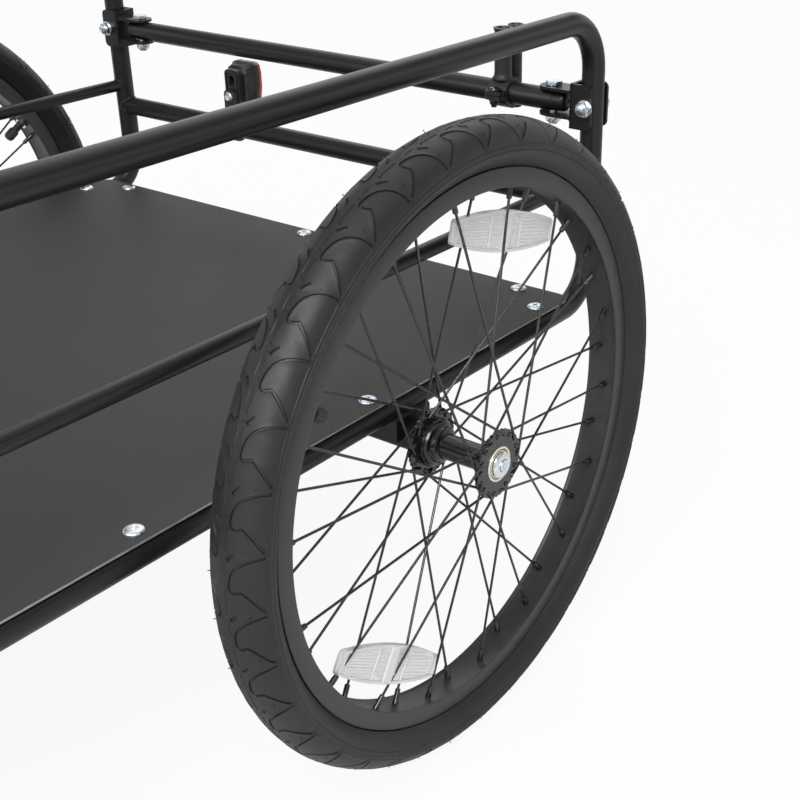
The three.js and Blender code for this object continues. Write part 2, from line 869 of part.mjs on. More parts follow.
function reflectorHousingSolid() {
  const bottom = midBarZ + barRadius + reflectorLift;
  const half = reflectorWidth / 2;
  const outline = roundedOutline([-half, half], [bottom, bottom + reflectorHeight], reflectorCorner);
  const body = solidOf(standingAcross(sheetShape(outline, reflectorDepth))
    .translate(reflectorFront() - reflectorDepth, rearReflectorSide, 0));
  const rim = lensRim;
  const pocket = roundedOutline([-half + rim, half - rim], [bottom + rim, bottom + reflectorHeight - rim],
    reflectorCorner - rim / 2);
  const recess = solidOf(standingAcross(sheetShape(pocket, lensThickness + overrun))
    .translate(reflectorFront() - reflectorDepth - overrun, rearReflectorSide, 0));
  return body.subtract(recess);
}

function reflectorLensSolid() {
  const bottom = midBarZ + barRadius + reflectorLift;
  const half = reflectorWidth / 2;
  const edge = lensRim + fit;
  const outline = roundedOutline([-half + edge, half - edge], [bottom + edge, bottom + reflectorHeight - edge],
    reflectorCorner - edge / 2);
  return solidOf(standingAcross(sheetShape(outline, lensThickness))
    .translate(reflectorFront() - reflectorDepth - fit, rearReflectorSide, 0));
}

function reflectorClampSolid() {
  const half = clampLength / 2;
  const outer = barRadius + fit + clampWall;
  const centre = [rearUprightX, rearReflectorSide, midBarZ];
  const ring = rod('y', centre, outer, -half, half, tubeSides);
  const plateRear = reflectorFront() + fit;
  const bottom = midBarZ + barRadius;
  const tongue = block(
    [plateRear, plateRear + clampWall],
    [rearReflectorSide - half, rearReflectorSide + half],
    [midBarZ, bottom + reflectorLift + clampTongue],
  );
  const boss = rod('x', [plateRear + clampWall, rearReflectorSide, bottom + reflectorLift + clampTongue / 2],
    boltHeadRadius, -clampWall / 2, boltHeadThickness / 2, boltSides);
  const bore = rod('y', centre, barRadius + fit, -half - overrun, half + overrun, tubeSides);
  return cutBy(joined([ring, tongue, boss]), [bore]);
}

// Flag pole socket on the rear upper crossbar
function socketExtent() {
  return {
    rear: rearUprightX - barRadius - socketBlockWall,
    front: rearUprightX + barRadius + socketNose,
    half: barRadius + socketBlockWall,
  };
}

function rearBarrelX() {
  return rearUprightX - barRadius - fit * 2 - rearBarrelRadius;
}

function socketUpperSolid() {
  const { front, half } = socketExtent();
  const rear = rearBarrelX();
  const side = [socketSide - socketBlockHalfWidth, socketSide + socketBlockHalfWidth];
  const body = block([rear, front], side, [upperBarZ + fit, upperBarZ + half]);
  const top = upperBarZ + barrelRise;
  const frontBarrel = turnedAlong('z', [rearUprightX + frontBarrelLead, socketSide, 0], [
    [0, upperBarZ + half - overrun],
    [frontBarrelRadius, upperBarZ + half - overrun],
    [frontBarrelRadius, top - lipHeight],
    [frontBarrelRadius + barrelLip, top],
    [0, top],
  ], boltSides);
  const rearBarrel = turnedAlong('z', [rear, socketSide, 0], [
    [barrelBoreRadius, upperBarZ - rearBarrelDrop],
    [rearBarrelRadius, upperBarZ - rearBarrelDrop],
    [rearBarrelRadius, top - lipHeight],
    [rearBarrelRadius + barrelLip, top],
    [barrelBoreRadius, top],
    [barrelBoreRadius, upperBarZ - rearBarrelDrop],
  ], boltSides);
  const bar = rod('y', [rearUprightX, socketSide, upperBarZ], barRadius + fit,
    -socketBlockHalfWidth - overrun, socketBlockHalfWidth + overrun, tubeSides);
  const poleBore = rod('z', [rear, socketSide, 0], barrelBoreRadius, upperBarZ - rearBarrelDrop - overrun,
    top + overrun, boltSides);
  const boltX = front - socketBoltInset;
  const boltHole = rod('z', [boltX, socketSide, 0], clearBore(socketBoltRadius), upperBarZ - half, upperBarZ + half
    + overrun, boltSides);
  return cutBy(joined([body, frontBarrel, rearBarrel]), [bar, poleBore, boltHole]);
}

function socketLowerSolid() {
  const { rear, front, half } = socketExtent();
  const side = [socketSide - socketBlockHalfWidth, socketSide + socketBlockHalfWidth];
  const body = block([rear, front], side, [upperBarZ - half, upperBarZ - fit]);
  const bar = rod('y', [rearUprightX, socketSide, upperBarZ], barRadius + fit,
    -socketBlockHalfWidth - overrun, socketBlockHalfWidth + overrun, tubeSides);
  const barrelClearance = rod('z', [rearBarrelX(), socketSide, 0], rearBarrelRadius + fit,
    upperBarZ - half - overrun, upperBarZ, tubeSides);
  const boltX = front - socketBoltInset;
  const boltHole = rod('z', [boltX, socketSide, 0], clearBore(socketBoltRadius), upperBarZ - half - overrun,
    upperBarZ, boltSides);
  return cutBy(body, [bar, barrelClearance, boltHole]);
}

function socketBoltSolid() {
  const { front, half } = socketExtent();
  const boltX = front - socketBoltInset;
  const headSeat = upperBarZ + half + fit;
  const nutSeat = upperBarZ - half - fit;
  const headRadius = socketBoltRadius + socketBoltHead;
  return turnedAlong('z', [boltX, socketSide, 0], [
    [0, nutSeat - headRadius],
    [headRadius, nutSeat - headRadius],
    [headRadius, nutSeat],
    [socketBoltRadius, nutSeat],
    [socketBoltRadius, headSeat],
    [headRadius, headSeat],
    [headRadius, headSeat + socketBoltRadius],
    [0, headSeat + socketBoltRadius],
  ], boltSides);
}

// Drawbar receiver, with the drawbar's pivot at its own height
function receiverSolid() {
  const lobes = [-receiverOuter, receiverInner].map((start) => {
    const centre = [pivotX, pivotSide, pivotZ + start];
    return rod('z', centre, receiverLobeRadius, 0, receiverPlate, tubeSides);
  });
  const rearEdge = deckFront - crossmemberInset - cradleHalfLength;
  const plates = [-receiverOuter, receiverInner].map((start) => block(
    [rearEdge, pivotX],
    [pivotSide - receiverHalfWidth, pivotSide + receiverHalfWidth],
    [pivotZ + start, pivotZ + start + receiverPlate],
  ));
  const web = block(
    [rearEdge, rearEdge + receiverPlate],
    [pivotSide - receiverHalfWidth, pivotSide + receiverHalfWidth],
    [pivotZ - receiverOuter, bottomRailZ - tubeRadius],
  );
  const crossmemberX = deckFront - crossmemberInset;
  const cradle = block(
    [rearEdge, crossmemberX + cradleHalfLength],
    [pivotSide - receiverHalfWidth, pivotSide + receiverHalfWidth],
    [bottomRailZ - tubeRadius - receiverPlate, bottomRailZ - tubeRadius + cradleDepth],
  );
  const riser = block(
    [crossmemberX + cradleHalfLength - receiverPlate, crossmemberX + cradleHalfLength],
    [pivotSide - receiverHalfWidth, pivotSide + receiverHalfWidth],
    [pivotZ + receiverInner, bottomRailZ - tubeRadius],
  );
  const tubeCut = rod('y', [crossmemberX, pivotSide, bottomRailZ], tubeRadius + fit,
    -receiverHalfWidth - overrun, receiverHalfWidth + overrun, tubeSides);
  const reach = receiverOuter + overrun;
  const pivotHole = rod('z', [pivotX, pivotSide, pivotZ], clearBore(pivotBoltRadius), -reach, reach, boltSides);
  const slot = clampSlot().translate([pivotX, pivotSide, pivotZ - reach]);
  return cutBy(joined([...lobes, ...plates, web, cradle, riser]), [tubeCut, pivotHole, slot]);
}

// The curved slot that the clamp bolt sweeps through when the drawbar folds
function clampSlot() {
  const halfWidth = clampBoltRadius + clampSlotClearance;
  const straight = -armToe;
  const folded = straight - foldSweep;
  const outline = new THREE.Shape();
  const at = (angle) => [clampLead * Math.cos(angle), clampLead * Math.sin(angle)];
  outline.absarc(0, 0, clampLead + halfWidth, folded, straight, false);
  outline.absarc(...at(straight), halfWidth, straight, straight + Math.PI, false);
  outline.absarc(0, 0, clampLead - halfWidth, straight, folded, true);
  outline.absarc(...at(folded), halfWidth, folded + Math.PI, folded + Math.PI * 2, false);
  return solidOf(sheetShape(outline, (receiverOuter + overrun) * 2, arcSteps));
}

// Drawbar arm and coupling, drawn along x from the pivot, in a group turned by the toe
function armSolid() {
  const corners = [
    new THREE.Vector3(0, 0, 0),
    new THREE.Vector3(armLength * armFlatShare, 0, 0),
    new THREE.Vector3(armLength * armClimbShare, 0, armRise),
    new THREE.Vector3(armLength, 0, armRise),
  ];
  const tube = openTube(corners, armRadius, armBendRadius, tubeSides);
  const sleeve = rod('z', [0, 0, 0], sleeveRadius, -sleeveHalfHeight, sleeveHalfHeight, tubeSides);
  const reach = sleeveHalfHeight + overrun;
  const pivotHole = rod('z', [0, 0, 0], clearBore(pivotBoltRadius), -reach, reach, boltSides);
  const clampHole = rod('z', [clampLead, 0, 0], clearBore(clampBoltRadius), -reach, reach, boltSides);
  const plugHole = rod('x', [0, 0, armRise], armRadius - armWall, armLength - headPlugLength - fit,
    armLength + overrun, tubeSides);
  return cutBy(tube.add(sleeve), [pivotHole, clampHole, plugHole]);
}

// The bolt through the slots of both receiver plates, and the knob that clamps them on the arm
function clampBoltSolid() {
  const seat = receiverOuter + fit;
  return turnedAlong('z', [clampLead, 0, 0], [
    [0, -seat - boltHeadThickness],
    [boltHeadRadius * boltHeadCrownShare, -seat - boltHeadThickness],
    [boltHeadRadius, -seat],
    [clampBoltRadius, -seat],
    [clampBoltRadius, seat + clampKnobHeight],
    [0, seat + clampKnobHeight],
  ], boltSides);
}

function clampKnobSolid() {
  const seat = receiverOuter + fit;
  const hubTop = seat + clampKnobHeight * boltHeadCrownShare / 2;
  return turnedAlong('z', [clampLead, 0, 0], [
    [clearBore(clampBoltRadius), seat],
    [clampHubRadius, seat],
    [clampHubRadius, hubTop],
    [clampKnobRadius, hubTop],
    [clampKnobRadius, seat + clampKnobHeight * crownShare + fit],
    [clampHubRadius, seat + clampKnobHeight - fit],
    [clearBore(clampBoltRadius), seat + clampKnobHeight - fit],
    [clearBore(clampBoltRadius), seat],
  ], tubeSides);
}

function headSolid() {
  const plug = rod('x', [0, 0, armRise], armRadius - armWall - fit, armLength - headPlugLength, armLength + fit * 2,
    tubeSides);
  const shoulder = armLength + fit;
  const disc = rod('x', [0, 0, armRise], armRadius, shoulder, shoulder + tongueThickness / 2, tubeSides);
  const hingeX = pitchAxisX();
  const tongue = block([shoulder, hingeX], [-tongueThickness / 2, tongueThickness / 2],
    [armRise - tongueHalfHeight, armRise + tongueHalfHeight]);
  const eye = rod('y', [hingeX, 0, armRise], tongueHalfHeight, -tongueThickness / 2, tongueThickness / 2, tubeSides);
  const hole = rod('y', [hingeX, 0, armRise], clearBore(couplingPinRadius), -tongueThickness, tongueThickness, boltSides);
  return cutBy(joined([plug, disc, tongue, eye]), [hole]);
}

function pitchAxisX() {
  return armLength + headTongueLength - tongueHalfHeight;
}

function yawAxisX() {
  return pitchAxisX() + knuckleReach;
}

function knuckleSolid() {
  const cheekInner = tongueThickness / 2 + fit;
  const cheekOuter = cheekInner + knuckleWall;
  const hingeX = pitchAxisX();
  const cheeks = [-1, 1].map((side) => {
    const cheek = block([hingeX, yawAxisX() - knuckleHalf], [side * cheekInner, side * cheekOuter],
      [armRise - knuckleHalf, armRise + knuckleHalf]);
    const eye = rod('y', [hingeX, 0, armRise], knuckleHalf, side * cheekInner, side * cheekOuter, tubeSides);
    return cheek.add(eye);
  });
  const bridge = block([hingeX + knuckleHalf + knuckleWall, yawAxisX()], [-cheekOuter, cheekOuter],
    [armRise - knuckleHalf, armRise + knuckleHalf]);
  const post = rod('z', [yawAxisX(), 0, armRise], cheekOuter, -knuckleHalf, knuckleHalf, tubeSides);
  const pinHole = rod('y', [hingeX, 0, armRise], clearBore(couplingPinRadius), -cheekOuter - overrun,
    cheekOuter + overrun, boltSides);
  const yawHole = rod('z', [yawAxisX(), 0, armRise], clearBore(couplingPinRadius), -knuckleHalf - overrun,
    knuckleHalf + overrun, boltSides);
  return cutBy(joined([...cheeks, bridge, post]), [pinHole, yawHole]);
}

function couplingPinSolid(axis, centre, gripHalf) {
  const seat = gripHalf + fit;
  const head = couplingPinRadius + couplingPinHead;
  return turnedAlong(axis, centre, [
    [0, -seat - couplingPinHead],
    [head, -seat - couplingPinHead],
    [head, -seat],
    [couplingPinRadius, -seat],
    [couplingPinRadius, seat],
    [head, seat],
    [head, seat + couplingPinHead],
    [0, seat + couplingPinHead],
  ], boltSides);
}

function hitchPinX() {
  return yawAxisX() + forkLength;
}

function forkSolid() {
  const inner = knuckleHalf + fit;
  const outer = inner + forkPlate;
  const yawX = yawAxisX();
  const rearStop = tongueThickness / 2 + fit + knuckleWall;
  const plates = [-outer, inner].map((start) => {
    const plate = block([yawX, hitchPinX()], [-forkHalfWidth, forkHalfWidth],
      [armRise + start, armRise + start + forkPlate]);
    const ends = [yawX, hitchPinX()].map((x) => {
      return rod('z', [x, 0, armRise + start], forkHalfWidth, 0, forkPlate, tubeSides);
    });
    return joined([plate, ...ends]);
  });
  const bridge = block([yawX + rearStop + fit * 2, hitchPinX() - forkGap], [-forkHalfWidth, forkHalfWidth],
    [armRise - outer, armRise + outer]);
  const reach = outer + overrun;
  const yawHole = rod('z', [yawX, 0, armRise], clearBore(couplingPinRadius), -reach, reach, boltSides);
  const hitchHole = rod('z', [hitchPinX(), 0, armRise], clearBore(hitchPinRadius), -reach, reach, boltSides);
  return cutBy(joined([...plates, bridge]), [yawHole, hitchHole]);
}

function hitchPinSolid() {
  const seat = knuckleHalf + fit + forkPlate + fit;
  const tip = -seat - hitchPinTail;
  const pin = turnedAlong('z', [hitchPinX(), 0, armRise], [
    [0, tip],
    [hitchPinRadius - axleHeadBevel, tip],
    [hitchPinRadius, tip + axleHeadBevel],
    [hitchPinRadius, seat],
    [hitchKnobRadius, seat],
    [hitchKnobRadius, seat + hitchKnobHeight / 2],
    [hitchKnobRadius * boltHeadCrownShare, seat + hitchKnobHeight],
    [0, seat + hitchKnobHeight],
  ], boltSides);
  const bailHole = rod('y', [hitchPinX(), 0, bailAxisZ()], clearBore(bailWire), -hitchKnobRadius - overrun,
    hitchKnobRadius + overrun, boltSides);
  return pin.subtract(bailHole);
}

function bailAxisZ() {
  return armRise + knuckleHalf + fit + forkPlate + fit + hitchKnobHeight / 3;
}

// A wire bail through the knob, lying forward over the fork
function bailSolid() {
  const x = hitchPinX();
  const z = bailAxisZ();
  const half = hitchKnobRadius + fit + bailWire;
  const bars = [x, x + bailLength].map((place) => rod('y', [place, 0, z], bailWire, -half, half, hexSides));
  const legs = [-half, half].map((side) => {
    return rod('x', [x, side, z], bailWire, -bailWire, bailLength + bailWire, hexSides);
  });
  return joined([...bars, ...legs]);
}

// Assembly
function frameGroup() {
  const group = new THREE.Group();
  group.name = 'frame';
  const sides = [{ side: 1, hand: 'left' }, { side: -1, hand: 'right' }];
  const ends = [{ x: rearUprightX, end: 'rear' }, { x: frontUprightX, end: 'front' }];
  sides.forEach(({ side, hand }) => {
    group.add(piece(`side_frame_${hand}`, sideFrameSolid(side), satinBlackPaint()));
  });
  ends.forEach(({ x, end }) => {
    group.add(piece(`upper_crossbar_${end}`, upperBarSolid(x), satinBlackPaint()));
    group.add(piece(`middle_crossbar_${end}`, crossTubeSolid(x, midBarZ, barRadius), satinBlackPaint()));
    const memberX = end === 'rear' ? deckRear + crossmemberInset : deckFront - crossmemberInset;
    group.add(piece(`lower_crossmember_${end}`, crossTubeSolid(memberX, bottomRailZ, tubeRadius), satinBlackPaint()));
    sides.forEach(({ side, hand }) => {
      const y = side * hoopSide;
      const crossCentre = [x, y, upperBarZ];
      const upCentre = [x, y - side * boltInset, upperBarZ];
      const name = `${end}_${hand}`;
      group.add(piece(`bracket_${name}`, bracketSolid(x, side), satinBlackPaint()));
      group.add(piece(`upright_bolt_${name}`, boltSolid('x', crossCentre, boltRadius, flangeOuter, -1), brightZinc()));
      group.add(piece(`crossbar_bolt_${name}`, boltSolid('z', upCentre, boltRadius, earOuter), brightZinc()));
    });
  });
  const axleTube = piece('axle_tube', axleTubeSolid(), satinBlackPaint());
  axleTube.position.z = wheelRadius;
  group.add(axleTube);
  group.add(piece('deck', deckSolid(), charcoalDeckPaint()));
  return group;
}

function rearFittingsGroup() {
  const group = new THREE.Group();
  group.name = 'rear_fittings';
  group.add(piece('rear_reflector_housing', reflectorHousingSolid(), blackPlastic()));
  group.add(piece('rear_reflector_lens', reflectorLensSolid(), redPlastic()));
  group.add(piece('rear_reflector_clamp', reflectorClampSolid(), blackPlastic()));
  group.add(piece('pole_socket_upper', socketUpperSolid(), blackPlastic()));
  group.add(piece('pole_socket_lower', socketLowerSolid(), blackPlastic()));
  group.add(piece('pole_socket_bolt', socketBoltSolid(), brightZinc()));
  return group;
}

function drawbarGroup() {
  const group = new THREE.Group();
  group.name = 'drawbar';
  group.add(piece('drawbar_receiver', receiverSolid(), satinBlackPaint()));
  const pivotCentre = [pivotX, pivotSide, pivotZ];
  group.add(piece('drawbar_pivot_bolt', boltSolid('z', pivotCentre, pivotBoltRadius, receiverOuter), brightZinc()));
  const swinging = new THREE.Group();
  swinging.name = 'drawbar_swing';
  swinging.position.set(pivotX, pivotSide, pivotZ);
  swinging.rotation.z = -armToe;
  const cheekOuter = tongueThickness / 2 + fit + knuckleWall;
  const pitchCentre = [pitchAxisX(), 0, armRise];
  const yawCentre = [yawAxisX(), 0, armRise];
  const yawGrip = knuckleHalf + fit + forkPlate;
  swinging.add(piece('drawbar_arm', armSolid(), satinBlackPaint()));
  swinging.add(piece('drawbar_clamp_bolt', clampBoltSolid(), brightZinc()));
  swinging.add(piece('drawbar_clamp_knob', clampKnobSolid(), blackPlastic()));
  swinging.add(piece('drawbar_head', headSolid(), brightZinc()));
  swinging.add(piece('coupling_knuckle', knuckleSolid(), satinBlackPaint()));
  swinging.add(piece('coupling_pitch_pin', couplingPinSolid('y', pitchCentre, cheekOuter), brightZinc()));
  swinging.add(piece('coupling_fork', forkSolid(), satinBlackPaint()));
  swinging.add(piece('coupling_yaw_pin', couplingPinSolid('z', yawCentre, yawGrip), brightZinc()));
  swinging.add(piece('hitch_pin', hitchPinSolid(), brightZinc()));
  swinging.add(piece('hitch_pin_bail', bailSolid(), brightZinc()));
  group.add(swinging);
  return group;
}

function trailerGroup() {
  const trailer = new THREE.Group();
  trailer.name = 'cargo_bike_trailer';
  const left = wheelGroup('left_wheel');
  left.position.set(0, trackHalf, wheelRadius);
  const right = wheelGroup('right_wheel');
  right.position.set(0, -trackHalf, wheelRadius);
  right.rotation.z = Math.PI;
  trailer.add(left, right, frameGroup(), rearFittingsGroup(), drawbarGroup());
  const extent = new THREE.Box3().setFromObject(trailer, true);
  trailer.position.x = -(extent.min.x + extent.max.x) / 2;
  return trailer;
}

export default trailerGroup();
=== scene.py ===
"""Looks of a cargo bike trailer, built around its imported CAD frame.

Every piece is drawn in millimetres about the wheel axle's centre on the ground, and placed in the
row's frame in metres as it is made.
"""

import logging
import math
import random
from collections.abc import Sequence
from dataclasses import dataclass
from enum import Enum

import bmesh
import bpy
from mathutils import Matrix, Vector
from mathutils.geometry import delaunay_2d_cdt, tessellate_polygon


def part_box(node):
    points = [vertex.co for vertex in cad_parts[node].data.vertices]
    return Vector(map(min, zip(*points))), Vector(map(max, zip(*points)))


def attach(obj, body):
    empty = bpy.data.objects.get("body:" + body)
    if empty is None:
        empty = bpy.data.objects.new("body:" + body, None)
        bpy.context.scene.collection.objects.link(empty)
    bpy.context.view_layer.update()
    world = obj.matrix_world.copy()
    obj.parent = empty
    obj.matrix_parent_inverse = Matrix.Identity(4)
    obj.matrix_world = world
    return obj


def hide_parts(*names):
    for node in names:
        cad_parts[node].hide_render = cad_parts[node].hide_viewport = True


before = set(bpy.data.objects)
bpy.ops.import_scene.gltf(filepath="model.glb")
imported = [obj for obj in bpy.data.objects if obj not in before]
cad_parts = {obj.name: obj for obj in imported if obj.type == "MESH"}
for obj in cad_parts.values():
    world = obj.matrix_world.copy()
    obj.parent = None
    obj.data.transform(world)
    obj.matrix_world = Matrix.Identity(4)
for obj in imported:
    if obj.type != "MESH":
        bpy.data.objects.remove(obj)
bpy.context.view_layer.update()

LOG = logging.getLogger("trailer")
METRE = 0.001
AXLE_X = sum(corner.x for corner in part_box("left_wheel_axle_button")) / 2 / METRE
Pair = tuple[float, float]
Colour = tuple[float, float, float]


class Axis(Enum):
    """A direction of the row that a turned or swept shape runs along."""

    X = Matrix(((0, 0, 1), (1, 0, 0), (0, 1, 0))).to_4x4()
    Y = Matrix(((0, 1, 0), (0, 0, 1), (1, 0, 0))).to_4x4()
    Z = Matrix.Identity(4)


class Hand(Enum):
    """A side of the trailer, with the sign of its y."""

    LEFT = 1
    RIGHT = -1

    @property
    def word(self) -> str:
        """The side's name in lower case."""
        return self.name.lower()


# Shader nodes


class Value:
    """A node's output socket that takes part in arithmetic."""

    def __init__(self, graph: "Graph", socket: bpy.types.NodeSocket) -> None:
        """Wrap a socket.

        Args:
            graph: The node graph that the socket is in.
            socket: The output socket.
        """
        self.graph = graph
        self.socket = socket

    def _math(self, operation: str, first: object, second: object) -> "Value":
        """Add a Math node.

        Args:
            operation: The Math node's operation.
            first: A number or a Value.
            second: A number or a Value.

        Returns:
            The result.
        """
        return self.graph.node("ShaderNodeMath", {"operation": operation}, {0: first, 1: second})

    def __add__(self, other: object) -> "Value":
        """Add."""
        return self._math("ADD", self, other)

    def __radd__(self, other: object) -> "Value":
        """Add, from the right."""
        return self._math("ADD", other, self)

    def __sub__(self, other: object) -> "Value":
        """Subtract."""
        return self._math("SUBTRACT", self, other)

    def __rsub__(self, other: object) -> "Value":
        """Subtract from a number."""
        return self._math("SUBTRACT", other, self)

    def __mul__(self, other: object) -> "Value":
        """Multiply."""
        return self._math("MULTIPLY", self, other)

    def __rmul__(self, other: object) -> "Value":
        """Multiply, from the right."""
        return self._math("MULTIPLY", other, self)

    def __truediv__(self, other: object) -> "Value":
        """Divide."""
        return self._math("DIVIDE", self, other)

    def __pow__(self, other: object) -> "Value":
        """Raise to a power."""
        return self._math("POWER", self, other)

    def above(self, edge: float) -> "Value":
        """One where the value is above the edge, and otherwise nought."""
        return self._math("GREATER_THAN", self, edge)

    def either(self, other: object) -> "Value":
        """The larger of two values."""
        return self._math("MAXIMUM", self, other)


class Graph:
    """The node graph of one material or of the world."""

    def __init__(self, tree: bpy.types.NodeTree) -> None:
        """Start with an empty tree.

        Args:
            tree: The node tree to fill.
        """
        self.tree = tree
        self.tree.nodes.clear()

    def node(
        self,
        kind: str,
        settings: dict[str, object] | None = None,
        inputs: dict[object, object] | None = None,
        output: object = 0,
    ) -> Value:
        """Add a node.

        Args:
            kind: The node's type.
            settings: Attributes of the node, or "stops" for a ramp, set before any link.
            inputs: Numbers, colours or Values, by the socket's name or number.
            output: The output socket's name or number.

        Returns:
            The chosen output.
        """
        made = self.tree.nodes.new(kind)
        for name, setting in (settings or {}).items():
            if name == "stops":
                self._set_stops(made, setting)
            else:
                setattr(made, name, setting)
        for name, value in (inputs or {}).items():
            if isinstance(value, Value):
                self.tree.links.new(value.socket, made.inputs[name])
            else:
                made.inputs[name].default_value = value
        return Value(self, made.outputs[output] if made.outputs else made.inputs[0])

    @staticmethod
    def _set_stops(ramp: bpy.types.Node, stops: Sequence[tuple[float, Colour]]) -> None:
        """Set a ramp's colours.

        Args:
            ramp: The ramp node.
            stops: Each stop's place and colour.
        """
        elements = ramp.color_ramp.elements
        while len(elements) < len(stops):
            elements.new(1.0)
        for element, (place, colour) in zip(elements, stops):
            element.position = place
            element.color = (*colour, 1.0)

    def place(self) -> Value:
        """The point on the piece, in metres in the row's frame."""
        return self.node("ShaderNodeTexCoord", output="Object")

    def noise(self, scale: float, detail: float = 3.0, at: Value | None = None, rough: float = 0.55) -> Value:
        """Add a noise.

        Args:
            scale: Features in a metre.
            detail: How many finer layers it has.
            at: The point to read it at.
            rough: The finer layers' share.

        Returns:
            The noise, from nought to one.
        """
        inputs = {"Vector": at or self.place(), "Scale": scale, "Detail": detail, "Roughness": rough}
        return self.node("ShaderNodeTexNoise", {}, inputs, 0)

    def mix(self, factor: object, first: object, second: object) -> Value:
        """Mix two colours.

        Args:
            factor: The second colour's share.
            first: A colour or a Value.
            second: A colour or a Value.

        Returns:
            The mixed colour.
        """
        sides = [side if isinstance(side, Value) else (*side, 1.0) for side in (first, second)]
        inputs = {0: factor, 6: sides[0], 7: sides[1]}
        return self.node("ShaderNodeMix", {"data_type": "RGBA"}, inputs, 2)

    def bump(self, height: Value, depth: float, strength: float = 1.0) -> Value:
        """Turn a height into a normal.

        Args:
            height: The height, from nought to one.
            depth: What a height of one stands for, in metres.
            strength: How strongly it shows.

        Returns:
            The normal.
        """
        return self.node("ShaderNodeBump", {}, {"Height": height, "Distance": depth, "Strength": strength})

    def surface(self, inputs: dict[str, object]) -> None:
        """End the graph in a Principled shader.

        Args:
            inputs: The shader's numbers, colours and Values, by socket name.
        """
        shader = self.node("ShaderNodeBsdfPrincipled", {}, inputs)
        self.node("ShaderNodeOutputMaterial", {}, {"Surface": shader})


# Finishes


@dataclass(frozen=True)
class Finish:
    """A finish with mottled colour, uneven gloss and fine grain."""

    name: str
    slot: str
    colour: Colour
    second: Colour
    roughness: float
    metallic: float = 0.0
    coat: float = 0.0
    mottle: float = 60.0
    unevenness: float = 0.12
    grain: float = 2500.0
    grain_depth: float = 0.00004
    specular: float = 0.5

    def material(self) -> bpy.types.Material:
        """The finish's material, made once."""
        made = bpy.data.materials.get(self.name)
        if made is None:
            made = bpy.data.materials.new(self.name)
            made.use_nodes = True
            made.diffuse_color = (*self.colour, 1.0)
            self.dress(Graph(made.node_tree))
        return made

    def dress(self, graph: Graph) -> None:
        """Fill the material's graph.

        Args:
            graph: The graph to fill.
        """
        patches = graph.noise(self.mottle, 4.0)
        fine = graph.noise(self.grain, 2.0)
        graph.surface(self.sockets(graph, patches, fine))

    def sockets(self, graph: Graph, patches: Value, fine: Value) -> dict[str, object]:
        """The shader's sockets for a mottle and a grain.

        Args:
            graph: The material's graph.
            patches: The broad mottle.
            fine: The fine grain.

        Returns:
            What each socket takes.
        """
        return {
            "Base Color": graph.mix(patches, self.colour, self.second),
            "Roughness": self.roughness + (patches - 0.5) * self.unevenness + (fine - 0.5) * self.unevenness,
            "Metallic": self.metallic,
            "Coat Weight": self.coat,
            "Specular IOR Level": self.specular,
            "Normal": graph.bump(fine, self.grain_depth),
        }


@dataclass(frozen=True)
class TurnedFinish(Finish):
    """A machined finish with fine rings around the wheel's axis."""

    rings: float = 900.0
    centre: Pair = (0.0, 0.0)

    def dress(self, graph: Graph) -> None:
        """Fill the material's graph.

        Args:
            graph: The graph to fill.
        """
        place = graph.place()
        split = graph.node("ShaderNodeSeparateXYZ", {}, {0: place}, "X")
        x = split - self.centre[0]
        z = Value(graph, split.socket.node.outputs["Z"]) - self.centre[1]
        radius = (x * x + z * z) ** 0.5
        along = graph.node("ShaderNodeCombineXYZ", {}, {0: radius * self.rings, 1: x * 4.0, 2: z * 4.0})
        rings = graph.noise(1.0, 2.0, along)
        patches = graph.noise(self.mottle, 3.0)
        graph.surface(self.sockets(graph, patches, rings))


@dataclass(frozen=True)
class ZincFinish(Finish):
    """A plated finish whose passivation drifts between blue and straw."""

    tints: tuple[Colour, Colour, Colour] = ((0.55, 0.66, 0.8), (0.72, 0.76, 0.8), (0.72, 0.66, 0.52))

    def dress(self, graph: Graph) -> None:
        """Fill the material's graph.

        Args:
            graph: The graph to fill.
        """
        patches = graph.noise(self.mottle, 3.0)
        fine = graph.noise(self.grain, 2.0)
        blue, white, straw = self.tints
        stops = [(0.3, blue), (0.52, white), (0.74, straw)]
        sockets = self.sockets(graph, patches, fine)
        sockets["Base Color"] = graph.node("ShaderNodeValToRGB", {"stops": stops}, {0: patches})
        graph.surface(sockets)


@dataclass(frozen=True)
class PrismFinish(Finish):
    """Moulded plastic over rows of tiny corner prisms, with a painted glint in each prism's cell."""

    transmission: float = 0.5
    ior: float = 1.49
    cell: float = 620.0

    def dress(self, graph: Graph) -> None:
        """Fill the material's graph.

        Args:
            graph: The graph to fill.
        """
        inputs = {"Vector": graph.place(), "Scale": self.cell, "Randomness": 0.25}
        cells = graph.node("ShaderNodeTexVoronoi", {"feature": "F1"}, inputs, "Distance")
        glints = graph.node("ShaderNodeTexVoronoi", {"feature": "F1"}, inputs, "Color")
        # Each prism cell takes its own tone of the colour and roughness: painted glints, one per cell.
        painted_glint = graph.node("ShaderNodeSeparateXYZ", {}, {0: glints}, "X")
        sockets = {
            "Base Color": graph.mix(painted_glint, self.colour, self.second),
            "Roughness": self.roughness + (painted_glint - 0.5) * self.unevenness,
            "Transmission Weight": self.transmission,
            "IOR": self.ior,
            "Coat Weight": self.coat,
            "Normal": graph.bump(cells, self.grain_depth),
        }
        graph.surface(sockets)


@dataclass(frozen=True)
class RubberFinish(Finish):
    """Moulded rubber with a faint bloom and soft scuffs."""

    bloom: Colour = (0.02, 0.0192, 0.0208)

    def dress(self, graph: Graph) -> None:
        """Fill the material's graph.

        Args:
            graph: The graph to fill.
        """
        patches = graph.noise(self.mottle, 5.0)
        fine = graph.noise(self.grain, 3.0)
        haze = graph.noise(self.mottle / 4, 2.0) ** 2.0
        sockets = self.sockets(graph, patches, fine)
        sockets["Base Color"] = graph.mix(haze, graph.mix(patches, self.colour, self.second), self.bloom)
        graph.surface(sockets)


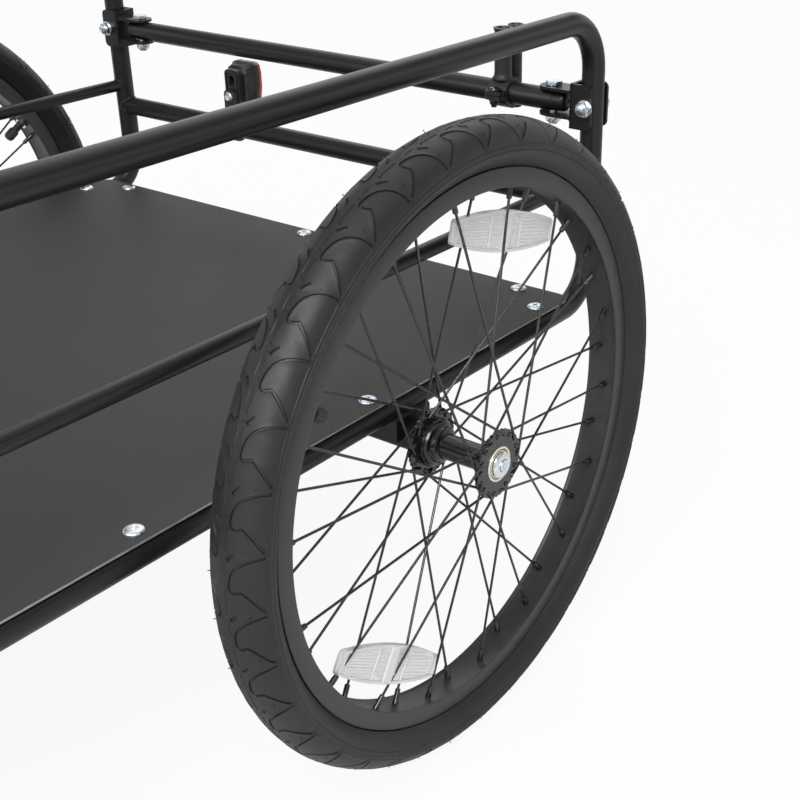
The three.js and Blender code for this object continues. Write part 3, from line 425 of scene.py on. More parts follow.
SATIN_BLACK = Finish("satin_black_coat", "satin_black_frame", (0.0052, 0.0052, 0.0058), (0.0085, 0.0085, 0.0092),
                     0.34, specular=0.36, unevenness=0.08, mottle=35.0, grain=1300.0, grain_depth=0.00005)
DECK_COAT = Finish("charcoal_deck_coat", "charcoal_deck", (0.0205, 0.0196, 0.0196), (0.0265, 0.0256, 0.0256), 0.56,
                   specular=0.34, unevenness=0.14, mottle=14.0, grain=2600.0, grain_depth=0.00009)
# Lighter grey for a thin band round the deck's edge: a painted highlight where the edge catches the light.
DECK_EDGE_HIGHLIGHT = Finish("painted_deck_edge_highlight", "charcoal_deck", (0.13, 0.128, 0.125), (0.4, 0.39, 0.38), 0.42, 0.35,
                   unevenness=0.2, mottle=90.0, grain=2600.0, grain_depth=0.00006)
BRIGHT_ZINC = ZincFinish("bright_zinc_plate", "bright_zinc", (0.62, 0.68, 0.75), (0.7, 0.74, 0.8), 0.26, 1.0,
                         mottle=180.0, grain=3000.0, grain_depth=0.00001)
STRAW_ZINC = ZincFinish("yellow_zinc_plate", "yellow_zinc", (0.74, 0.68, 0.5), (0.8, 0.76, 0.62), 0.38, 0.85,
                        mottle=160.0, grain=2500.0, grain_depth=0.00001,
                        tints=((0.72, 0.7, 0.6), (0.8, 0.76, 0.62), (0.74, 0.64, 0.42)))
TYRE_RUBBER = RubberFinish("moulded_tyre_rubber", "tyre_rubber", (0.0085, 0.008, 0.009), (0.0115, 0.011, 0.012), 0.46,
                           specular=0.36, mottle=70.0, unevenness=0.16, grain=3200.0, grain_depth=0.00005)
BUTYL = Finish("inner_tube_butyl", "tube_rubber", (0.012, 0.012, 0.012), (0.018, 0.018, 0.018), 0.5)
HUB_BLACK = Finish("hub_black_enamel", "hub_black", (0.0045, 0.0045, 0.005), (0.007, 0.007, 0.0075), 0.2, 0.0, 0.3,
                   specular=0.4, unevenness=0.08, mottle=120.0, grain=1500.0, grain_depth=0.00002)
SPOKE_BLACK = Finish("spoke_black_oxide", "hub_black", (0.05, 0.05, 0.052), (0.085, 0.083, 0.085), 0.26, 0.9,
                     unevenness=0.1, mottle=220.0, grain=4000.0, grain_depth=0.00001)
CLEAR_PRISM = PrismFinish("clear_prism_plastic", "clear_reflector", (0.98, 0.99, 1.0), (1.0, 1.0, 1.0), 0.08,
                          coat=0.5, unevenness=0.16, grain_depth=0.0004, transmission=0.5)
CLEAR_RIM = PrismFinish("clear_rim_plastic", "clear_reflector", (0.95, 0.97, 0.98), (1.0, 1.0, 1.0), 0.16, coat=0.5,
                        unevenness=0.1, cell=300.0, grain_depth=0.0001, transmission=0.4)
RED_PRISM = PrismFinish("red_prism_plastic", "red_reflector", (0.42, 0.008, 0.012), (0.6, 0.02, 0.03), 0.14,
                        coat=0.6, unevenness=0.15, transmission=0.2, grain_depth=0.0009)
BLACK_PLASTIC = Finish("moulded_black_plastic", "black_plastic", (0.009, 0.009, 0.01), (0.014, 0.014, 0.015),
                       0.42, specular=0.4, unevenness=0.1, mottle=90.0, grain=1800.0, grain_depth=0.00006)


# Meshes


def circle(radius: float, sides: int, centre: Pair = (0.0, 0.0), turn: float = 0.0) -> list[Pair]:
    """A regular outline.

    Args:
        radius: Its corners' distance from its centre.
        sides: How many sides it has.
        centre: Its centre.
        turn: The first corner's angle.

    Returns:
        The corners.
    """
    step = math.tau / sides
    return [(centre[0] + radius * math.cos(turn + step * i), centre[1] + radius * math.sin(turn + step * i))
            for i in range(sides)]


def rectangle(u: Pair, v: Pair) -> list[Pair]:
    """A rectangle's corners.

    Args:
        u: Its extent along the first direction.
        v: Its extent along the second.

    Returns:
        The corners.
    """
    return [(u[0], v[0]), (u[1], v[0]), (u[1], v[1]), (u[0], v[1])]


def rounded(u: Pair, v: Pair, radius: float, steps: int = 6) -> list[Pair]:
    """A rectangle with round corners.

    Args:
        u: Its extent along the first direction.
        v: Its extent along the second.
        radius: The corners' radius.
        steps: Segments in each corner.

    Returns:
        The outline.
    """
    outline = []
    for quarter, (cu, cv) in enumerate([(u[1], v[1]), (u[0], v[1]), (u[0], v[0]), (u[1], v[0])]):
        centre = (cu - radius if cu == u[1] else cu + radius, cv - radius if cv == v[1] else cv + radius)
        for step in range(steps + 1):
            angle = (quarter + step / steps) * math.pi / 2
            outline.append((centre[0] + radius * math.cos(angle), centre[1] + radius * math.sin(angle)))
    return outline


def stadium(length: float, radius: float, steps: int = 16) -> list[Pair]:
    """An outline with two round ends, from the origin to a length along the first direction.

    Args:
        length: The distance between the ends' centres.
        radius: The ends' radius.
        steps: Segments in each end.

    Returns:
        The outline.
    """
    far = [(length + radius * math.cos(a), radius * math.sin(a))
           for a in (math.pi * (i / steps - 0.5) for i in range(steps + 1))]
    near = [(radius * math.cos(a), radius * math.sin(a))
            for a in (math.pi * (i / steps + 0.5) for i in range(steps + 1))]
    return far + near


def bent(corners: Sequence[Vector], radii: Sequence[float], closed: bool = False, steps: int = 10) -> list[Vector]:
    """A route through corners, with round bends.

    Args:
        corners: The route's corners.
        radii: The bend's radius at each corner; an open route's ends aren't bent.
        closed: Whether the route ends where it starts.
        steps: Segments in each bend.

    Returns:
        The points of the route.
    """
    route = []
    count = len(corners)
    for index, (corner, radius) in enumerate(zip(corners, radii)):
        if radius <= 0 or (not closed and index in (0, count - 1)):
            route.append(corner.copy())
            continue
        back = (corners[index - 1] - corner).normalized()
        ahead = (corners[(index + 1) % count] - corner).normalized()
        half = back.angle(ahead) / 2
        centre = corner + (back + ahead).normalized() * (radius / math.sin(half))
        start = corner + back * (radius / math.tan(half)) - centre
        end = corner + ahead * (radius / math.tan(half)) - centre
        sweep = start.angle(end)
        for step in range(steps + 1):
            share = step / steps
            weights = (math.sin((1 - share) * sweep), math.sin(share * sweep))
            route.append(centre + (start * weights[0] + end * weights[1]) / math.sin(sweep))
    return route


class Shape:
    """Closed shells in millimetres, gathered into one piece."""

    def __init__(self) -> None:
        """Start with no shell."""
        self.points: list[Vector] = []
        self.faces: list[tuple[int, ...]] = []
        self.slots: list[int] = []

    def add(self, points: Sequence[Vector], faces: Sequence[Sequence[int]], slot: int = 0,
            place: Matrix | None = None) -> "Shape":
        """Add a shell.

        Args:
            points: Its points.
            faces: Its faces, by point.
            slot: Which of the piece's finishes it has.
            place: Where it goes.

        Returns:
            This shape.
        """
        base = len(self.points)
        self.points += [place @ point if place else point.copy() for point in points]
        self.faces += [tuple(base + corner for corner in face) for face in faces]
        self.slots += [slot] * len(faces)
        return self

    def moved(self, place: Matrix) -> "Shape":
        """Move the whole shape.

        Args:
            place: The move.

        Returns:
            This shape.
        """
        self.points = [place @ point for point in self.points]
        return self

    def join(self, other: "Shape", place: Matrix | None = None) -> "Shape":
        """Take in another shape.

        Args:
            other: The other shape.
            place: Where it goes.

        Returns:
            This shape.
        """
        base = len(self.points)
        self.points += [place @ point if place else point.copy() for point in other.points]
        self.faces += [tuple(base + corner for corner in face) for face in other.faces]
        self.slots += other.slots
        return self

    def turned(self, profile: Sequence[Pair], axis: Axis, centre: Sequence[float], sides: int = 48,
               slot: int = 0, closed: bool = False) -> "Shape":
        """Add a turned shell.

        Args:
            profile: Points as radius and distance along the axis.
            axis: The axis.
            centre: A point on the axis.
            sides: Segments around it.
            slot: Which of the piece's finishes it has.
            closed: Whether the profile ends where it starts, clear of the axis.

        Returns:
            This shape.
        """
        points: list[Vector] = []
        rings: list[list[int]] = []
        for radius, along in profile:
            if radius < 1e-6:
                rings.append([len(points)] * sides)
                points.append(Vector((0, 0, along)))
                continue
            rings.append([len(points) + i for i in range(sides)])
            points += [Vector((u, v, along)) for u, v in circle(radius, sides)]
        faces = []
        pairs = list(zip(rings, rings[1:] + rings[:1])) if closed else list(zip(rings, rings[1:]))
        for low, high in pairs:
            for i in range(sides):
                j = (i + 1) % sides
                face = list(dict.fromkeys([low[i], low[j], high[j], high[i]]))
                if len(face) > 2:
                    faces.append(face)
        return self.add(points, faces, slot, Matrix.Translation(Vector(centre)) @ axis.value)

    def swept(self, route: Sequence[Vector], radius: float, sides: int = 24, closed: bool = False,
              slot: int = 0) -> "Shape":
        """Add a round bar along a route.

        Args:
            route: The route's points.
            radius: The bar's radius.
            sides: Segments around it.
            closed: Whether it ends where it starts.
            slot: Which of the piece's finishes it has.

        Returns:
            This shape.
        """
        count = len(route)
        tangents = []
        for i in range(count):
            before = route[i - 1] if closed or i > 0 else route[i]
            after = route[(i + 1) % count] if closed or i < count - 1 else route[i]
            tangents.append((after - before).normalized())
        normal = tangents[0].orthogonal().normalized()
        points = []
        for i, centre in enumerate(route):
            if i:
                normal = tangents[i - 1].rotation_difference(tangents[i]) @ normal
            across = tangents[i].cross(normal).normalized()
            points += [centre + normal * u + across * v for u, v in circle(radius, sides)]
        faces = []
        for i in range(count if closed else count - 1):
            low, high = i * sides, ((i + 1) % count) * sides
            faces += [(low + j, low + (j + 1) % sides, high + (j + 1) % sides, high + j) for j in range(sides)]
        if not closed:
            faces += [tuple(range(sides))[::-1], tuple(range((count - 1) * sides, count * sides))]
        return self.add(points, faces, slot)

    def prism(self, outlines: Sequence[Sequence[Pair]], span: Pair, axis: Axis = Axis.Z,
              centre: Sequence[float] = (0, 0, 0), slot: int = 0, place: Matrix | None = None) -> "Shape":
        """Add a plate with holes.

        Args:
            outlines: The outer outline, then each hole's.
            span: Its two faces' distances along the axis.
            axis: The direction across the plate.
            centre: The origin of the outlines.
            slot: Which of the piece's finishes it has.
            place: A place for the whole plate, instead of the axis and centre.

        Returns:
            This shape.
        """
        flat = [Vector((u, v, 0)) for outline in outlines for u, v in outline]
        count = len(flat)
        points = [Vector((p.x, p.y, end)) for end in span for p in flat]
        triangles = tessellate_polygon([[Vector((u, v, 0)) for u, v in outline] for outline in outlines])
        faces = [tuple(t) for t in triangles] + [tuple(c + count for c in reversed(t)) for t in triangles]
        first = 0
        for outline in outlines:
            size = len(outline)
            for i in range(size):
                j = first + (i + 1) % size
                faces.append((first + i, j, j + count, first + i + count))
            first += size
        where = place if place else Matrix.Translation(Vector(centre)) @ axis.value
        return self.add(points, faces, slot, where)

    def rippled(self, route: Sequence[Vector], size: float, closed: bool = False) -> "Shape":
        """Add a weld bead, a thin bar that swells at each ripple.

        Args:
            route: The bead's line, in short steps.
            size: The bead's radius.
            closed: Whether it ends where it starts.

        Returns:
            This shape.
        """
        bead = Shape().swept(route, size, 8, closed)
        for i, centre in enumerate(route):
            swell = 1.0 if i % 3 == 1 else 0.82
            for j in range(i * 8, i * 8 + 8):
                bead.points[j] = centre + (bead.points[j] - centre) * swell
        return self.join(bead)

    def weld(self, centre: Sequence[float], along: Vector, across: Vector, radius: float, other: float,
             size: float = 1.5) -> "Shape":
        """Add the weld bead where one tube butts on another.

        Args:
            centre: Where their axes cross.
            along: The butting tube's direction, away from the other.
            across: The direction square to both tubes.
            radius: The butting tube's radius.
            other: The other tube's radius.
            size: The bead's radius.

        Returns:
            This shape.
        """
        up = along.cross(across)
        steps = max(16, round(math.tau * radius / 1.7)) * 3
        route = []
        for i in range(steps):
            u, v = radius * math.cos(math.tau * i / steps), radius * math.sin(math.tau * i / steps)
            route.append(Vector(centre) + across * u + up * v + along * math.sqrt(max(0.0, other * other - u * u)))
        return self.rippled(route, size, True)

    def mesh(self, name: str) -> bpy.types.Mesh:
        """Make a Blender mesh in metres in the row's frame.

        Args:
            name: The mesh's name.

        Returns:
            The mesh, with its normals outward.
        """
        mesh = bpy.data.meshes.new(name)
        placed = [((p.x + AXLE_X) * METRE, p.y * METRE, p.z * METRE) for p in self.points]
        mesh.from_pydata(placed, [], self.faces)
        mesh.polygons.foreach_set("material_index", self.slots)
        edit = bmesh.new()
        edit.from_mesh(mesh)
        bmesh.ops.remove_doubles(edit, verts=edit.verts, dist=0.000002)
        bmesh.ops.recalc_face_normals(edit, faces=edit.faces)
        edit.to_mesh(mesh)
        edit.free()
        return mesh


@dataclass
class Piece:
    """A visible piece: its shape, finishes, body and what it stands for."""

    name: str
    shape: Shape
    finishes: Sequence[Finish]
    body: str = "frame"
    replaces: Sequence[str] = ()
    bevel: float = 0.0
    crease: float = 32.0

    def build(self) -> bpy.types.Object:
        """Make the Blender object and set it on its body.

        Returns:
            The object.
        """
        mesh = self.shape.mesh(self.name)
        for finish in self.finishes:
            mesh.materials.append(finish.material())
        mesh.shade_smooth()
        mesh.set_sharp_from_angle(angle=math.radians(self.crease))
        made = bpy.data.objects.new(self.name, mesh)
        bpy.context.scene.collection.objects.link(made)
        if self.bevel:
            edge = made.modifiers.new("edge", "BEVEL")
            edge.width = self.bevel * METRE
            edge.segments = 2
            edge.limit_method = "ANGLE"
            edge.angle_limit = math.radians(self.crease)
            edge.harden_normals = True
        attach(made, self.body)
        if self.replaces:
            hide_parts(*self.replaces)
        LOG.info("%s rides on %s", self.name, self.body)
        return made


@dataclass(frozen=True)
class Bolt:
    """A hexagon bolt with its washer, locking nut and thread end."""

    radius: float
    grip: float
    head_radius: float = 7.0
    head_height: float = 5.3
    nut_radius: float = 7.5
    nut_height: float = 6.5
    tail: float = 2.5

    def shape(self, axis: Axis, centre: Sequence[float]) -> Shape:
        """Draw the bolt.

        Args:
            axis: Its axis, towards the head.
            centre: The middle of its grip.

        Returns:
            The shape.
        """
        seat = self.grip + 0.3
        made = Shape()
        lathe = [(0, -seat - self.nut_height - self.tail), (self.radius - 0.7, -seat - self.nut_height - self.tail)]
        pitches = 5
        for i in range(pitches):
            z = -seat - self.nut_height - self.tail + 0.4 + i * self.tail / pitches
            lathe += [(self.radius, z), (self.radius - 0.45, z + self.tail / pitches / 2)]
        lathe += [(self.radius, -seat - self.nut_height), (self.radius, seat), (0, seat)]
        made.turned(lathe, axis, centre, 20)
        washer = [(self.radius, -seat), (self.nut_radius + 0.3, -seat), (self.nut_radius + 0.3, -seat - 1.0),
                  (self.radius, -seat - 1.0)]
        made.turned(washer, axis, centre, 32, closed=True)
        turn = math.pi / 12
        nut = self.nut_height
        made.join(self.hexagon(self.nut_radius * 0.95, -seat - nut * 0.84, -seat - 1.0, turn),
                  Matrix.Translation(Vector(centre)) @ axis.value)
        collar = [(self.radius + 0.3, -seat - nut * 0.8), (self.nut_radius * 0.74, -seat - nut * 0.8),
                  (self.nut_radius * 0.72, -seat - nut * 0.94), (self.nut_radius * 0.66, -seat - nut),
                  (self.radius + 0.5, -seat - nut), (self.radius + 0.3, -seat - nut * 0.94)]
        made.turned(collar, axis, centre, 32, closed=True)
        made.join(self.hexagon(self.head_radius, seat, seat + self.head_height, turn),
                  Matrix.Translation(Vector(centre)) @ axis.value)
        dome = [(0, seat + self.head_height - 0.5), (self.head_radius * 0.74, seat + self.head_height - 0.5),
                (self.head_radius * 0.66, seat + self.head_height + 0.1), (0, seat + self.head_height + 0.1)]
        return made.turned(dome, axis, centre, 32)

    @staticmethod
    def hexagon(radius: float, low: float, high: float, turn: float) -> Shape:
        """A hexagon whose corners are chamfered at both faces.

        Args:
            radius: Its corners' radius.
            low: One face.
            high: The other face.
            turn: Its first corner's angle.

        Returns:
            The shape.
        """
        sides = 36
        flat = radius * math.cos(math.pi / 6)
        points, faces = [], []
        step = (high - low) * 0.14
        for level, cut in ((low, True), (low + step, False), (high - step, False), (high, True)):
            for i in range(sides):
                angle = math.tau * i / sides
                reach = flat / math.cos((angle + math.pi / 6) % (math.pi / 3) - math.pi / 6)
                reach = min(reach, flat * 1.02) if cut else reach
                points.append(Vector((reach * math.cos(angle + turn), reach * math.sin(angle + turn), level)))
        for ring in range(3):
            for i in range(sides):
                j = (i + 1) % sides
                faces.append((ring * sides + i, ring * sides + j, (ring + 1) * sides + j, (ring + 1) * sides + i))
        faces += [tuple(range(sides)), tuple(range(3 * sides, 4 * sides))]
        return Shape().add(points, faces)


# The wheels


@dataclass(frozen=True)
class Tyre:
    """The tyre, whose shoulders carry a row of hooked fin grooves."""

    crown_radius: float = 242.7
    section_height: float = 33.0
    half_width: float = 23.5
    crown_share: float = 0.59
    straight_from: float = 76.0
    wrap: float = 122.0
    foot: Pair = (211.0, 12.9)
    bead: Pair = (203.5, 10.6)
    bead_width: float = 4.0
    wall: float = 3.4
    pitches: int = 36
    first_valley: float = 8.95
    columns: int = 8
    groove: float = 1.0
    groove_floor: float = 0.65
    depth: float = 0.95
    lip: float = 0.15
    lip_width: float = 0.75
    fin: tuple[Pair, ...] = ((0.1, 69), (0.2, 59), (0.4, 49), (0.78, 38.5), (1.35, 29), (2.1, 21), (3.1, 15.5),
                             (4.2, 12.5), (5.2, 11.5), (5.7, 13), (5.95, 16.5), (5.9, 21), (5.75, 25.5), (5.5, 30),
                             (6.05, 37), (6.65, 44), (7.4, 51.5), (8.25, 59.5), (9.05, 67))
    sipe: tuple[Pair, ...] = ((-0.15, 18.5), (0.15, 15.5), (0.5, 12.5), (0.9, 10))
    tile_start: float = -0.5
    rows: tuple[float, ...] = (0, 1.8, 2.8, 4.2, 5.2, 9, 14, 20, 26, 33, 40, 47, 54, 61, 68, 73, 74, 75.5, 80, 81, 82,
                               86, 89, 90, 91, 96, 101, 106, 111, 116, 122)
    ridges: tuple[Pair, ...] = ((0, 0.29), (1.8, 0.3), (2.8, -0.22), (4.2, -0.22), (74, 0.45), (81, 0.35), (90, 0.45))
    hair_place: Pair = (9.0, 42.0)
    hair_length: float = 2.4

    def section(self, angle: float) -> Pair:
        """The outer surface's radius and side.

        Args:
            angle: Degrees round the section from the crown.

        Returns:
            The radius and the distance to the side.
        """
        height = self.section_height * self.crown_share
        centre = self.crown_radius - height
        lift = dict(self.ridges).get(angle, 0.0)
        turn = math.radians(min(angle, self.straight_from))
        start = (centre + height * math.cos(turn), self.half_width * math.sin(turn))
        if angle <= self.straight_from:
            return start[0] + lift * math.cos(turn), start[1] + lift * math.sin(turn)
        share = (angle - self.straight_from) / (self.wrap - self.straight_from)
        pull = (start[0] - 8.5, self.half_width + 0.9)
        blend = [(1 - share) ** 2, 2 * share * (1 - share), share**2]
        radius, across = (blend[0] * start[i] + blend[1] * pull[i] + blend[2] * self.foot[i] for i in (0, 1))
        return radius, across + lift

    def _flat(self, points: Sequence[Pair]) -> list[Vector]:
        """Lay degrees round the wheel and the section out as millimetres.

        Args:
            points: Degrees from the valley and from the crown.

        Returns:
            The laid-out points.
        """
        along = math.radians(1) * 232
        across = math.radians(1) * 21.5
        return [Vector((u * along, v * across)) for u, v in points]

    @staticmethod
    def _offset(line: Sequence[Vector], width: float) -> list[Vector]:
        """The outline of a stroke.

        Args:
            line: The stroke's middle.
            width: Half its width.

        Returns:
            The outline's corners.
        """
        left, right = [], []
        for i, point in enumerate(line):
            back = (point - line[max(i - 1, 0)]).normalized() if i else None
            ahead = (line[i + 1] - point).normalized() if i < len(line) - 1 else None
            heading = ((back or ahead) + (ahead or back)).normalized()
            normal = Vector((-heading.y, heading.x))
            reach = width / max(0.72, normal.dot(Vector((-(ahead or back).y, (ahead or back).x))))
            end = heading * width * (-0.6 if i == 0 else 0.6 if i == len(line) - 1 else 0)
            left.append(point + normal * reach + end)
            right.append(point - normal * reach + end)
        return left + right[::-1]

    def _nearest(self, point: Vector, lines: Sequence[Sequence[Vector]]) -> float:
        """A point's distance to the nearest stroke.

        Args:
            point: The point.
            lines: The strokes' middles.

        Returns:
            The distance.
        """
        best = 1e9
        for line in lines:
            for start, end in zip(line, line[1:]):
                run = end - start
                share = max(0.0, min(1.0, (point - start).dot(run) / run.length_squared))
                best = min(best, (start + run * share - point).length)
        return best

    def tile(self) -> tuple[list[tuple[float, float, float]], list[tuple[int, ...]]]:
        """One pitch of one shoulder, from the crown to the rim.

        Returns:
            Points as degrees from the valley, degrees from the crown and depth, and the faces.
        """
        pitch = 360 / self.pitches
        lines = [self._flat(self.fin), self._flat(self.sipe)]
        points: list[Vector] = []
        edges = []
        for line in lines:
            for width in (self.groove + self.lip_width, self.groove, self.groove_floor):
                outline = self._offset(line, width)
                first = len(points)
                points += outline
                edges += [(first + i, first + (i + 1) % len(outline)) for i in range(len(outline))]
        scale = self._flat([(1, 1)])[0]
        for row in self.rows:
            for column in range(self.columns + 1):
                spot = self._flat([(self.tile_start + pitch * column / self.columns, row)])[0]
                edge = column in (0, self.columns) or row in (0, self.wrap)
                if edge or self._nearest(spot, lines) > self.groove + self.lip_width + 0.4:
                    points.append(spot)
        flat, _, faces, *_ = delaunay_2d_cdt(points, edges, [], 0, 1e-4)
        tile = []
        for spot in flat:
            away = self._nearest(spot, lines)
            inside, outside = (self.groove + self.groove_floor) / 2, self.groove + self.lip_width / 2
            sunk = self.depth if away < inside else -self.lip if away < outside else 0.0
            tile.append((spot.x / scale.x, spot.y / scale.y, sunk))
        return tile, [tuple(face) for face in faces]

    def shape(self) -> Shape:
        """Draw the tyre.

        Returns:
            The shape, about the wheel's centre.
        """
        tile, faces = self.tile()
        made = Shape()
        pitch = 360 / self.pitches
        angles = {round(v, 4) for _, v, _ in tile}
        table = {v: (self.section(v), self.section(v + 0.5), self.section(max(v - 0.5, 0.0))) for v in angles}
        for side in (1, -1):
            for k in range(self.pitches):
                valley = self.first_valley + pitch * (k + (0.0 if side > 0 else 0.5))
                points = []
                for u, v, sunk in tile:
                    (radius, across), ahead, behind = table[round(v, 4)]
                    run = Vector((ahead[0] - behind[0], ahead[1] - behind[1])).normalized()
                    radius, across = radius - run.y * sunk, across + run.x * sunk
                    angle = math.radians(valley - u)
                    points.append(Vector((radius * math.cos(angle), side * across, radius * math.sin(angle))))
                made.add(points, faces)
        self._lining(made)
        self._hairs(made)
        return made

    def _hairs(self, made: Shape) -> None:
        """Add the fine rubber hairs that the mould's vents leave on the shoulders.

        Args:
            made: The tyre so far.
        """
        draw = random.Random(7)
        for index in range(self.pitches * 2):
            side = 1 if index % 2 else -1
            degrees = self.first_valley + 360 / self.pitches * (index // 2 + (0.0 if side > 0 else 0.5))
            angle = math.radians(degrees - self.hair_place[0] + draw.uniform(-1, 1))
            section = self.hair_place[1] + draw.uniform(-6, 6)
            lean = math.radians(section)
            radius, across = self.section(section)
            out = Vector((math.cos(angle) * math.cos(lean), side * math.sin(lean), math.sin(angle) * math.cos(lean)))
            start = Vector((radius * math.cos(angle), side * across, radius * math.sin(angle)))
            made.swept([start - out * 0.5, start + out * self.hair_length * draw.uniform(0.5, 1)], 0.3, 5)

    def _lining(self, made: Shape) -> None:
        """Add the beads and the inside, on the tiles' own columns.

        Args:
            made: The tyre so far.
        """
        height = self.section_height * self.crown_share
        centre = self.crown_radius - height
        arc = [math.radians(108 * (1 - i / 8)) for i in range(17)]
        inside = [(centre + (height - self.wall) * math.cos(a), (self.half_width - self.wall) * math.sin(a)) for a in arc]
        inner = self.bead[1] - self.bead_width
        half = [self.foot, (self.foot[0] - 0.5, self.bead[1]), self.bead, (self.bead[0], inner), (self.foot[0], inner)]
        profile = half + inside + [(radius, -across) for radius, across in reversed(half)]
        sides = self.pitches * self.columns
        start = math.radians(self.first_valley - self.tile_start)
        points = []
        for radius, across in profile:
            for i in range(sides):
                angle = start + math.tau * i / sides
                points.append(Vector((radius * math.cos(angle), across, radius * math.sin(angle))))
        faces = []
        for ring in range(len(profile) - 1):
            low, high = ring * sides, (ring + 1) * sides
            faces += [(low + i, low + (i + 1) % sides, high + (i + 1) % sides, high + i) for i in range(sides)]
        made.add(points, faces)


@dataclass(frozen=True)
class Wheel:
    """A spoked wheel on its push-button axle."""

    hand: Hand
    tyre: Tyre = Tyre()
    height: float = 243.0
    track: float = 351.0
    rim_radius: float = 210.0
    rim_half: float = 13.4
    side_depth: float = 14.0
    bed_depth: float = 13.0
    well_depth: float = 10.5
    flange_offset: float = 30.0
    flange_radius: float = 26.3
    flange_half: float = 1.5
    hole_circle: float = 22.5
    spokes: int = 36
    spoke_radius: float = 1.0
    wrap: float = math.radians(60)
    first: float = math.radians(5.6)
    bearing_radius: float = 14.9
    bearing_shown: float = 13.6
    bearing_face: float = 32.3
    axle_radius: float = 6.0
    head_radius: float = 10.0
    reflector_reach: float = 162.5
    reflector_half: float = 61.5
    reflector_wide: float = 15.0
    reflector_thick: float = 2.0
    reflectors: tuple[tuple[str, float, float, int], ...] = (("upper", 110.0, 14.5, -1), ("lower", -51.9, 32.5, 1))
    valve_angle: float = math.radians(31.5)
    valve_length: float = 25.5

    @property
    def body(self) -> str:
        """The body that the wheel turns with."""
        return f"{self.hand.word}_wheel"

    def place(self) -> Matrix:
        """Where the wheel stands, its outer side outward."""
        turn = Matrix.Rotation(0.0 if self.hand is Hand.LEFT else math.pi, 4, "Z")
        return Matrix.Translation((0, self.hand.value * self.track, self.height)) @ turn

    def add(self, name: str, shape: Shape, finishes: Sequence[Finish], node: str = "", body: str = "",
            **options: float) -> None:
        """Build one of the wheel's pieces.

        Args:
            name: The piece's name, without the wheel's.
            shape: Its shape, about the wheel's centre.
            finishes: Its finishes.
            node: The CAD node that it stands for, without the wheel's name.
            body: Its body, or the wheel's own.
            options: The piece's bevel and crease.
        """
        replaces = [f"{self.body}_{node}"] if node else []
        Piece(f"{self.body}_{name}", shape.moved(self.place()), finishes, body or self.body, replaces, **options).build()

    def build(self) -> None:
        """Build every piece of the wheel."""
        self.add("tyre_tread", self.tyre.shape(), [TYRE_RUBBER], "tyre", crease=26.0)
        self.add("tube_and_valve", self.tube(), [BUTYL, BRIGHT_ZINC], "inner_tube")
        self.add("rim_hoop", self.rim(), [self.rim_finish()], "rim")
        self.add("hub_shell", self.hub(), [HUB_BLACK], "hub_and_spokes")
        self.add("spokes", self.spoke_set(), [SPOKE_BLACK])
        self.add("nipples", self.nipples(), [SPOKE_BLACK])
        for side, word in ((1, "outer"), (-1, "inner")):
            self.add(f"{word}_bearing_cone", self.bearing(side), [STRAW_ZINC, BLACK_PLASTIC], f"{word}_bearing")
        self.add("axle_shaft", self.axle(), [BRIGHT_ZINC], "axle", "frame")
        self.add("release_button", self.button(), [BRIGHT_ZINC], "axle_button", f"{self.hand.word}_axle_button")
        for word, angle, tilt, side in self.reflectors:
            shape = self.reflector(math.radians(angle), math.radians(tilt), side)
            self.add(f"{word}_spoke_reflector", shape, [CLEAR_PRISM, CLEAR_RIM], f"{word}_reflector", bevel=0.25)

    def rim_finish(self) -> Finish:
        """The rim's finish, turned about this wheel's axle."""
        return TurnedFinish(f"rim_black_{self.hand.word}", "rim_black", (0.034, 0.0335, 0.035), (0.045, 0.0445, 0.046),
                            0.4, 0.25, specular=0.45, unevenness=0.1, mottle=40.0, grain_depth=0.00002,
                            centre=(AXLE_X * METRE, self.height * METRE))

    def tube(self) -> Shape:
        """The inner tube inside the tyre, with its valve through the rim."""
        made = Shape()
        profile = [(223.5 + 12 * math.cos(a), 17.5 * math.sin(a)) for a in
                   (math.tau * i / 24 for i in range(24))]
        made.turned(profile, Axis.Y, (0, 0, 0), 96, closed=True)
        bed = self.rim_radius - self.bed_depth
        tip = bed - self.valve_length
        stem = [(0, tip + 11), (3.6, tip + 11)]
        for i in range(7):
            stem += [(3.9, tip + 11.4 + i * 1.5), (3.5, tip + 12.2 + i * 1.5)]
        stem += [(4.0, bed - 3.4), (4.0, bed + 19), (0, bed + 19)]
        aim = Matrix.Rotation(math.pi / 2 - self.valve_angle, 4, "Y")
        valve = Shape().turned(stem, Axis.Z, (0, 0, 0), 24, 0)
        valve.prism([circle(6.6, 6)], (bed - 3.4, bed - 0.4), slot=1)
        cap = [(0, tip), (2.6, tip), (3.8, tip + 0.5), (4.7, tip + 1.8), (4.9, tip + 3.0), (4.9, tip + 11.6),
               (4.5, tip + 12.2), (0, tip + 12.2)]
        valve.turned(cap, Axis.Z, (0, 0, 0), 32, 0)
        for i in range(16):
            turn = Matrix.Rotation(math.tau * i / 16, 4, "Z")
            valve.prism([[(4.7, -0.45), (5.2, 0.0), (4.7, 0.45)]], (tip + 3.4, tip + 11.2), place=turn)
        return made.join(valve, aim)

    def rim(self) -> Shape:
        """The rim, with its lips and curved spoke bed."""
        r, half = self.rim_radius, self.rim_half
        bed = r - self.bed_depth
        side = r - self.side_depth
        right = [(bed, 0), (bed, half - 3.6), (bed - 0.3, half - 2.6), (side + 0.1, half - 1.5), (side, half - 0.7),
                 (side + 0.5, half - 0.1), (side + 1.4, half), (r - 1.2, half), (r - 0.3, half - 0.3), (r, half - 1.1),
                 (r - 0.4, half - 2.2), (r - 6.5, half - 2.4), (r - 7.2, 7.4), (r - self.well_depth, 5)]
        profile = right + [(radius, -across) for radius, across in reversed(right[1:])]
        return Shape().turned(profile, Axis.Y, (0, 0, 0), 180, closed=True)

